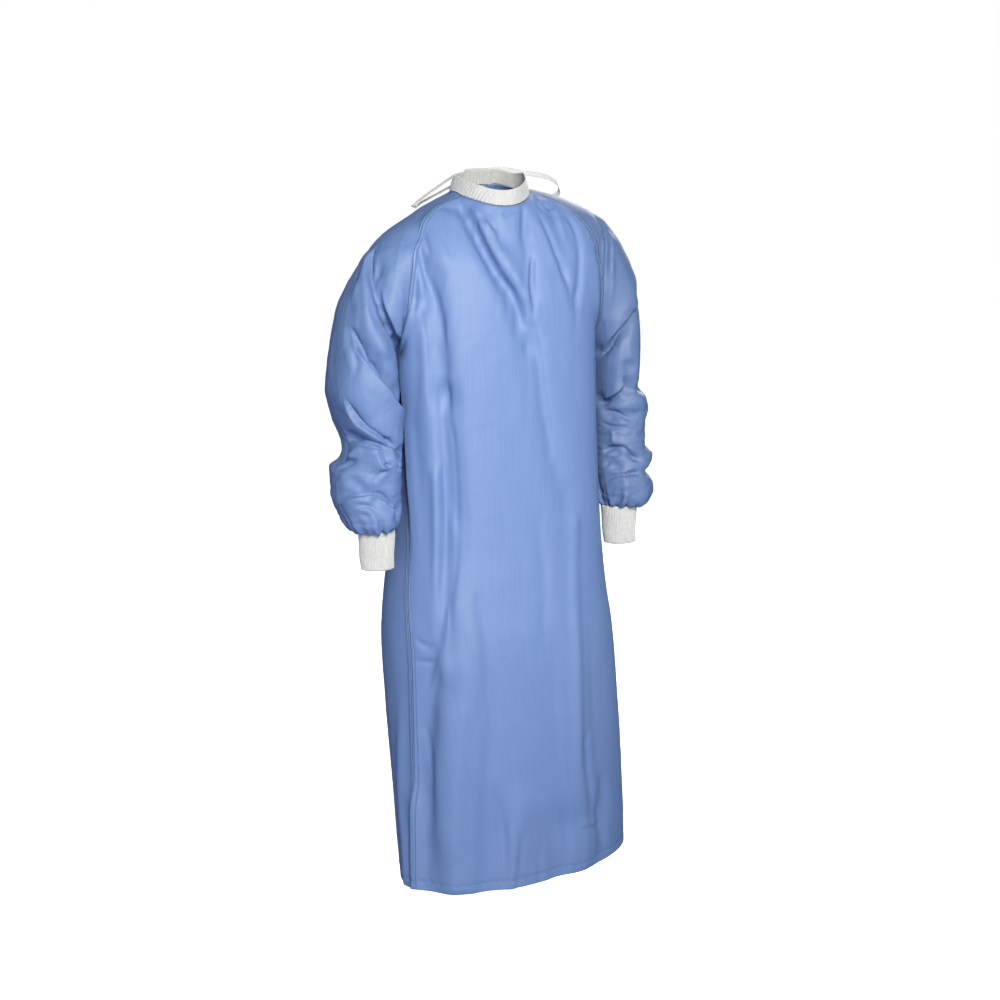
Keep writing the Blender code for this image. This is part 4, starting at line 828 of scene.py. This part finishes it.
class Look:
    """The nodes of a material or of the world. Most methods add one and give its output."""

    def __init__(self, owner):
        owner.use_nodes = True
        self.owner = owner
        self.tree = owner.node_tree

    def join(self, value, socket):
        if isinstance(value, bpy.types.NodeSocket):
            self.tree.links.new(value, socket)
        else:
            socket.default_value = value

    def add(self, kind, output, inputs, **properties):
        node = self.tree.nodes.new("ShaderNode" + kind)
        for name, value in properties.items():
            setattr(node, name, value)
        for name, value in inputs.items():
            self.join(value, node.inputs[name])
        return node.outputs[output]

    def math(self, operation, *values):
        return self.add("Math", 0, dict(enumerate(values)), operation=operation)

    def cut(self, over, down):
        """The cut's own metres, stretched across and down."""
        uv = self.add("UVMap", "UV", {}, uv_map="cut")
        return self.add("Mapping", "Vector", {"Scale": (over, down, 1.0), "Vector": uv})

    def noise(self, place, scale=1.0, detail=2.0, roughness=0.5):
        return self.add("TexNoise", "Fac", {"Scale": scale, "Detail": detail,
                                            "Roughness": roughness, "Vector": place})

    def threads(self, way, pitch, waver=0.0):
        """Rounded threads this far apart: down ("X"), across ("Y") or slanted on the cut."""
        size = math.pi / (10.0 * pitch)
        return self.add("TexWave", "Fac", {"Scale": 1.0, "Distortion": waver,
                                           "Vector": self.cut(size, size)}, bands_direction=way)

    def soft_step(self, value, none, full):
        """0 at one value, 1 at the other, with soft ends."""
        return self.add("MapRange", "Result", {"From Min": none, "From Max": full, "Value": value},
                        interpolation_type="SMOOTHSTEP")

    def ramp(self, share, stops):
        """A colour for each share, from stops of a place and its colour."""
        node = self.tree.nodes.new("ShaderNodeValToRGB")
        elements = node.color_ramp.elements
        for element, (place, colour) in zip(elements, (stops[0], stops[-1])):
            element.position = place
            element.color = colour + (1.0,)
        for place, colour in stops[1:-1]:
            elements.new(place).color = colour + (1.0,)
        self.tree.links.new(share, node.inputs["Fac"])
        return node.outputs["Color"]

    def two_tone(self, share, tones, start=0.3, stop=0.7):
        return self.ramp(share, ((start, tones[0]), (stop, tones[1])))

    def bump(self, height, strength, distance, under=None):
        inputs = {"Strength": strength, "Distance": distance, "Height": height}
        if under is not None:
            inputs["Normal"] = under
        return self.add("Bump", "Normal", inputs)

    def finish(self, shader, **settings):
        """Sets or links the shader's inputs, named with _ for each space."""
        for name, value in settings.items():
            self.join(value, self.tree.nodes[shader].inputs[name.replace("_", " ")])
        return self.owner


def new_look(name):
    return Look(bpy.data.materials.new(name))


def gown_cloth(name, painted_shade=1.0):
    """Blue polyester in plain weave: fine warp lines, a soft sheen, flat felled seams. A factor below 1
    darkens its colour, to paint shade onto a sleeve.
    """
    look = new_look(name)
    warp_lines = look.noise(look.cut(620.0, 9.0))
    weft_lines = look.noise(look.cut(14.0, 480.0), detail=1.0)
    clouds = look.noise(look.cut(9.0, 6.0), detail=3.0)
    lines = look.math("MULTIPLY_ADD", warp_lines, 0.85, look.math("MULTIPLY", weft_lines, 0.15))
    shade = look.math("MULTIPLY_ADD", clouds, 0.25, look.math("MULTIPLY", lines, 0.75))
    # painted shade: both tones are darkened by this factor, for the sleeves
    tones = [tuple(painted_shade * c for c in tone) for tone in CLOTH_TONES]
    # the felled seam: two layers more, with the stitches drawn into them
    away = look.add("Attribute", "Fac", {}, attribute_name="fell")
    height = look.soft_step(away, FELL_WIDTH + FELL_SLOPE, FELL_WIDTH - FELL_SLOPE)
    for row in STITCH_ROWS:
        gap = look.math("ABSOLUTE", look.math("SUBTRACT", away, row))
        dent = look.soft_step(gap, DENT_HALF, 0.0)
        height = look.math("MULTIPLY_ADD", dent, -DENT_DEEP, height)
    seam = look.bump(height, 1.0, FELL_HIGH)
    crumple = look.noise(look.cut(34.0, 22.0), detail=3.0, roughness=0.55)
    soft = look.bump(crumple, 0.35, 0.0016, seam)
    streaks = look.bump(lines, 0.30, 0.00022, soft)
    weave = look.math("ADD", look.threads("X", WARP_PITCH), look.threads("Y", WEFT_PITCH))
    return look.finish("Principled BSDF", Base_Color=look.two_tone(shade, tones, 0.34, 0.66),
                       Normal=look.bump(weave, 0.25, 0.00006, streaks),
                       Roughness=0.60, Specular_IOR_Level=0.52)


def rib_knit():
    """White rib knit: the ribs are modelled, and the loops are in its bump."""
    look = new_look("white_rib_knit")
    mottle = look.noise(look.cut(180.0, 180.0), detail=3.0)
    loops = look.math("MULTIPLY", look.threads("Y", KNIT_PITCH), look.math("ADD", mottle, 0.5))
    return look.finish("Principled BSDF", Base_Color=look.two_tone(mottle, KNIT_TONES),
                       Normal=look.bump(loops, 0.5, 0.0003), Roughness=0.85,
                       Specular_IOR_Level=0.2, Sheen_Weight=0.25, Sheen_Roughness=0.5)


def band_cloth():
    """White neckband cloth, soft and fine."""
    look = new_look("white_neckband")
    mottle = look.noise(look.cut(240.0, 60.0), detail=3.0)
    weave = look.math("ADD", look.threads("X", BAND_WARP), look.threads("Y", BAND_WEFT))
    fine = look.bump(mottle, 0.4, 0.0004)
    return look.finish("Principled BSDF", Base_Color=look.two_tone(mottle, BAND_TONES),
                       Normal=look.bump(weave, 0.4, 0.0001, fine), Roughness=0.78,
                       Specular_IOR_Level=0.25, Sheen_Weight=0.2, Sheen_Roughness=0.5)


def twill_tape():
    """White cotton twill tape: slanted ribs between two firm selvedges."""
    look = new_look("white_twill_tape")
    mottle = look.noise(look.cut(300.0, 300.0))
    ribs = look.threads("DIAGONAL", TWILL_PITCH, 0.6)
    return look.finish("Principled BSDF", Base_Color=look.two_tone(mottle, TAPE_TONES),
                       Normal=look.bump(ribs, 0.6, 0.0002), Roughness=0.8,
                       Specular_IOR_Level=0.25)


def sewing_thread():
    """Blue thread, painted a little lighter in random specks that stand in for its fibres catching the
    light: painted glints.
    """
    look = new_look("blue_thread")
    place = look.add("TexCoord", "Object", {})
    mottle = look.noise(place, scale=900.0)
    return look.finish("Principled BSDF", Base_Color=look.two_tone(mottle, THREAD_TONES),
                       Roughness=0.55)


blue = gown_cloth("blue_plain_weave")
# painted shade: each sleeve's cloth is coloured darker than the body's, the left one most, to stand in
# for the shade on the sleeves
sleeve_blues_painted_shade = {node: gown_cloth(node.replace("sleeve", "blue_weave_painted_shade") + "_sleeve", shade)
         for node, shade in SLEEVE_PAINTED_SHADE.items()}
white_knit = rib_knit()
white_band = band_cloth()
white_tape = twill_tape()
blue_thread = sewing_thread()

# ---------------------------------------------------------------- the gown's cloth
PANELS = (
    # node, the even columns between its edges, and its creases
    ("front", 132, FRONT_CREASES),
    ("back_right", 62, BACK_CREASES),
    ("back_left", 62, BACK_CREASES),
    ("sleeve_right", 146, RIGHT_SLEEVE_CREASES),
    ("sleeve_left", 146, LEFT_SLEEVE_CREASES),
)
worn = {}                      # each panel's points and normals, for the stitches
cloth = {}
for node, columns, creases in PANELS:
    cloth[node], worn[node] = make_panel(node, columns, creases, sleeve_blues_painted_shade.get(node, blue))

# ---------------------------------------------------------------- stitches
ALL = slice(None)
YOKE, BELOW_YOKE = slice(YOKE_STEPS), slice(YOKE_STEPS, None)
LOW, HIGH = (INNER, OUTER), (-1 - INNER, -1 - OUTER)   # the columns at a panel's two edges
HEM_LINE = 1 - len(HEM_STOPS)
OUTER_SEAM = ((-0.290, -0.022, -0.245), (-0.290, -0.030, -0.285), (-0.290, -0.034, -0.325),
              (-0.286, -0.030, -0.365), (-0.280, -0.024, -0.400))
SEAM_POINTS = 90
SEAM_HALF = 0.0028             # from the middle of that seam to each row of stitches


def one_stitch():
    """A single stitch of thread, lying along z with its top towards y: its points and faces."""
    bm = bmesh.new()
    bmesh.ops.create_uvsphere(bm, u_segments=6, v_segments=4, radius=1.0)
    bmesh.ops.scale(bm, vec=(STITCH_WIDE / 2, STITCH_WIDE * 0.45, STITCH_LONG / 2),
                    verts=bm.verts[:])
    # the operator lists its corners in another order each run, so they are put in one of their own
    points = sorted(tuple(v.co) for v in bm.verts)
    number = {point: k for k, point in enumerate(points)}
    faces = []
    for face in bm.faces:
        side = [number[tuple(v.co)] for v in face.verts]
        first = side.index(min(side))
        faces.append(side[first:] + side[:first])
    bm.free()
    return np.array(points), sorted(faces)


def stitches(name, lines):
    """Rows of thread stitches, half sunk into the cloth. Each line is its points and normals."""
    shape, sides = one_stitch()
    points, faces = [], []
    for line, out in lines:
        at, step = lengths_along(line)
        for s in np.arange(0.5 * STITCH_PITCH, at[-1] - 0.5 * STITCH_PITCH, STITCH_PITCH):
            k = min(int(np.searchsorted(at, s, side="right")) - 1, len(step) - 1)
            share = (s - at[k]) / max(step[k], 1e-9)
            along = (line[k + 1] - line[k]) / max(step[k], 1e-9)
            normal = out[k] + share * (out[k + 1] - out[k])
            normal = unit(normal - along * (normal @ along))
            middle = line[k] + share * (line[k + 1] - line[k]) + STITCH_SINK * normal
            turn = np.array((np.cross(normal, along), normal, along))
            first = len(points) * len(shape)
            points.append(shape @ turn + middle)
            faces.extend([[first + v for v in side] for side in sides])
    mesh = bpy.data.meshes.new(name)
    mesh.from_pydata(np.concatenate(points).tolist(), [], faces)
    mesh.shade_smooth()
    mesh.materials.append(blue_thread)
    return placed(name, mesh)


def line_of(node, rows, columns):
    """A line of the worn cloth, and its normals."""
    return tuple(part[rows, columns] for part in worn[node])


def laid_on(points, node):
    """These points moved straight onto the worn cloth, and its normals there."""
    grid, normals = (part.reshape(-1, 3) for part in worn[node])
    near = [int(np.argmin(((grid - point) ** 2).sum(axis=1))) for point in points]
    out = normals[near]
    gap = ((points - grid[near]) * out).sum(axis=1, keepdims=True)
    return points - gap * out, out


body_lines = [line_of("front", ALL, column) for column in LOW + HIGH]
body_lines += [line_of("back_right", YOKE, column) for column in HIGH]
body_lines += [line_of("back_left", YOKE, column) for column in LOW]
body_lines += [line_of("back_right", ALL, OUTER), line_of("back_left", ALL, -1 - OUTER)]
for node in ("front", "back_right", "back_left"):
    body_lines += [line_of(node, HEM_LINE, ALL), line_of(node, 1, ALL)]
sleeve_lines = []
for node in ("sleeve_right", "sleeve_left"):
    sleeve_lines += [line_of(node, 1, ALL), line_of(node, -2, ALL)]
    sleeve_lines += [line_of(node, BELOW_YOKE, column) for column in LOW]

# the seam on the outer side of the right sleeve
seam = np.array(OUTER_SEAM)
seam, _ = laid_on(curve(seam, np.linspace(0.0, length_of(seam), SEAM_POINTS)), "sleeve_right")
seam, out = laid_on(seam, "sleeve_right")
aside = unit(np.cross(out, np.gradient(seam, axis=0)))
for side in (-SEAM_HALF, SEAM_HALF):
    sleeve_lines.append(laid_on(seam + side * aside, "sleeve_right"))
body_stitches = stitches("body_stitches", body_lines)
sleeve_stitches = stitches("sleeve_stitches", sleeve_lines)
for piece in (body_stitches, sleeve_stitches):
    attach(piece, "root")


# ---------------------------------------------------------------- knit cuffs
def cuff_rings(node):
    """A cuff's outer edge at the sleeve and at the wrist, each as a ring of points."""
    bm = open_skin(node, CLOTH_WALL)
    loops = sorted(edge_loops(bm), key=height_of)
    upper, lower = (np.array([tuple(v.co) for v in ring]) for ring in (loops[-1], loops[0]))
    bm.free()
    if len(upper) != len(lower):
        raise ValueError("a cuff's two edges must match")
    ways = []
    for ring in (lower, lower[::-1]):
        for k in range(len(ring)):
            turned = np.roll(ring, -k, axis=0)
            ways.append((((turned - turned.mean(0) - upper + upper.mean(0)) ** 2).sum(), turned))
    lower = min(ways, key=lambda way: way[0])[1]
    return np.stack((np.vstack((upper, upper[:1])), np.vstack((lower, lower[:1]))))


def make_knit_cuff(side):
    """White knit cuff: even ribs round the wrist, a little uneven from wear."""
    rows = cuff_rings("cuff_" + side)
    share = np.linspace(0.0, 1.0, CUFF_ROWS + 1)[:, None, None]
    tall = rows[0] * (1.0 - share) + rows[1] * share
    fine = even_lines(tall, CUFF_RIBS * RIB_STEPS, 1, ring=True)
    outward = fine - fine.mean(axis=(0, 1))
    if (normals_of(fine, 0) * outward).sum() < 0:
        fine = fine[:, ::-1]
    normals = normals_of(fine, 0)
    turn = np.linspace(0.0, 2.0 * math.pi * CUFF_RIBS, fine.shape[1])
    drop = np.linspace(0.0, 1.0, fine.shape[0])[:, None]
    rib = (0.5 + 0.5 * np.cos(turn))[None, :] ** 0.7
    worn_in = np.sin(3.0 * turn / CUFF_RIBS + 1.0)[None, :] * np.sin(7.0 * drop)
    moved = -RIB_HIGH * (1.0 - rib) + CUFF_WORN * worn_in
    flat = cut_of(fine)
    fine = fine + moved[..., None] * normals
    fine[:, -1] = fine[:, 0]
    obj = cloth_object("knit_cuff_" + side, fine, flat, CUFF_THICK, white_knit, loop_from=0)
    return instead_of("cuff_" + side, obj)


for side in ("right", "left"):
    cloth["cuff_" + side] = make_knit_cuff(side)


# ---------------------------------------------------------------- neckband
def make_neckband():
    """White stand-up band, softly gathered where it turns round the wearer's right."""
    fine = even_lines(even_lines(skin_rows("neckband"), BAND_STEPS[0], 0), BAND_STEPS[1], 1)
    normals = normals_of(fine)
    flat = cut_of(fine)
    over = flat[..., 0] - flat[:, :1, 0]
    behind = fine[..., 1] >= BAND_BACK
    right = grown(-fine[..., 0], BAND_RIGHT) * ~behind
    share = BAND_LEAST + right + 0.5 * behind
    drop = np.linspace(0.0, 1.0, fine.shape[0])[:, None]
    wave = np.sin(2.0 * math.pi * over / BAND_GATHER + 1.6 * np.sin(over / 0.021))
    moved = BAND_GATHER_HIGH * share * wave * (0.35 + 0.65 * drop)
    moved += BAND_WORN * np.sin(over / 0.017 + 2.0 * drop)
    fine = fine + moved[..., None] * normals
    obj = cloth_object("white_neckband", fine, flat, BAND_THICK, white_band)
    return instead_of("neckband", obj)


cloth["neckband"] = make_neckband()


# ---------------------------------------------------------------- tape ties
def make_tape(node):
    """One tape of a bow: a flat woven strip with firm edges."""
    rows = skin_rows(node, TAPE_WALL, strip=True)
    steps = max(12, int(length_of(rows[:, 0]) / TAPE_STEP))
    fine = even_lines(even_lines(rows, steps, 0), TAPE_COLUMNS, 1)
    normals = normals_of(fine)
    flat = cut_of(fine)
    over = np.linspace(-1.0, 1.0, fine.shape[1])[None, :]
    twist = TAPE_TWIST * np.sin(flat[..., 1] / TAPE_TWIST_STEP) * over
    moved = TAPE_EDGE * np.abs(over) ** 6 - TAPE_SUNK + twist
    fine = fine + moved[..., None] * normals
    obj = cloth_object(node.replace("tie", "tape"), fine, flat, TAPE_THICK, white_tape)
    return instead_of(node, obj)


def make_knot(node):
    """A small tied knot: the tape's turns show as slanted ridges."""
    bm = merged_node(node)
    bmesh.ops.subdivide_edges(bm, edges=bm.edges[:], cuts=5, use_grid_fill=True)
    bmesh.ops.smooth_vert(bm, verts=bm.verts[:], factor=0.5, use_axis_x=True, use_axis_y=True,
                          use_axis_z=True)
    bm.normal_update()
    middle = sum((v.co for v in bm.verts), Vector()) / len(bm.verts)
    over, through, up = KNOT_TURNS
    for vert in bm.verts:
        away = vert.co - middle
        turn = away.x * over + away.z * up + 1.2 * math.sin(away.y * through)
        vert.co += vert.normal * (KNOT_RIDGE * math.sin(turn) - KNOT_SUNK)
    uv = bm.loops.layers.uv.new("cut")
    for face in bm.faces:
        for corner in face.loops:
            corner[uv].uv = corner.vert.co.xz
    mesh = bpy.data.meshes.new(node.replace("tie", "tape"))
    bm.to_mesh(mesh)
    bm.free()
    mesh.shade_smooth()
    mesh.materials.append(white_tape)
    return instead_of(node, placed(mesh.name, mesh))


for bow in ("neck_tie", "waist_tie"):
    [make_tape(bow + "_" + part) for part in TAPE_PARTS] + [make_knot(bow + "_knot")]

# ---------------------------------------------------------------- stage, light and camera
WHITE = (1.0, 1.0, 1.0)
FLOOR_SIZE = 12.0
SKY = (
    # share of the way up from straight below, and the colour of the light from there
    (0.28, (0.41, 0.49, 0.66)),        # what comes up from below
    (0.43, WHITE),                     # the white backdrop
    (0.5425, WHITE),
    (0.60, (0.22, 0.26, 0.33)),        # the room above it
)
LIGHTS = (
    # name, place, what it points at, width and height, power, colour
    ("key", (-0.72, -3.38, 1.16), (-0.04, 0.0, -0.38), (0.9, 1.2), 23.7, (1.0, 0.91, 0.71)),
    ("side", (-3.0, -2.2, 0.6), (0.0, 0.0, -0.5), (1.2, 2.2), 2.5, WHITE),
    ("back", (2.3, 2.7, 1.2), (0.0, 0.0, -0.5), (1.2, 1.8), 95.0, (1.0, 0.95, 0.88)),
)
KEY_SPREAD = 54.0              # degrees
CAMERA_AT = (-1.25704, -3.15654, 0.07625)
CAMERA_LOOK = (0.3689, 0.9131, -0.1736)
CAMERA_LENS, CAMERA_SENSOR = 73.28, 36.0       # millimetres


def turned_to(obj, way):
    """Turns a light or the camera to look this way, with its top up."""
    obj.rotation_euler = way.to_track_quat("-Z", "Y").to_euler()


def make_floor():
    """A plain pale floor, as bright as the backdrop."""
    bm = bmesh.new()
    bmesh.ops.create_grid(bm, x_segments=1, y_segments=1, size=FLOOR_SIZE)
    bmesh.ops.translate(bm, vec=(0.0, 0.0, FLOOR_Z), verts=bm.verts[:])
    mesh = bpy.data.meshes.new("floor")
    bm.to_mesh(mesh)
    bm.free()
    look = new_look("pale_floor")
    mesh.materials.append(look.finish(
        "Principled BSDF", Base_Color=(0.90, 0.90, 0.90, 1.0), Roughness=0.9,
        Emission_Color=WHITE + (1.0,), Emission_Strength=0.88, Specular_IOR_Level=0.1))
    floor = placed("floor", mesh)
    floor.visible_diffuse = False      # the lamps light the cloth, not the bright floor
    floor.visible_glossy = False


def make_sky():
    """Soft light from all round, white where it is the backdrop."""
    world = bpy.data.worlds.new("studio")
    look = Look(world)
    way = look.add("TexCoord", "Generated", {})
    height = look.math("MULTIPLY_ADD", look.add("SeparateXYZ", "Z", {"Vector": way}), 0.5, 0.5)
    bpy.context.scene.world = look.finish("Background", Color=look.ramp(height, SKY))
    world.cycles_visibility.glossy = False


make_floor()
bpy.context.scene.view_settings.view_transform = "Standard"
make_sky()
for name, place, target, size, power, colour in LIGHTS:
    data = bpy.data.lights.new(name, "AREA")
    data.shape = "RECTANGLE"
    data.size, data.size_y = size
    data.energy = power
    data.color = colour
    light = placed(name, data)
    light.location = place
    turned_to(light, Vector(target) - Vector(place))
bpy.data.lights["key"].spread = math.radians(KEY_SPREAD)

camera_data = bpy.data.cameras.new("camera")
camera_data.lens = CAMERA_LENS
camera_data.sensor_width = CAMERA_SENSOR
camera = placed("camera", camera_data)
camera.location = CAMERA_AT
turned_to(camera, Vector(CAMERA_LOOK))
bpy.context.scene.camera = camera
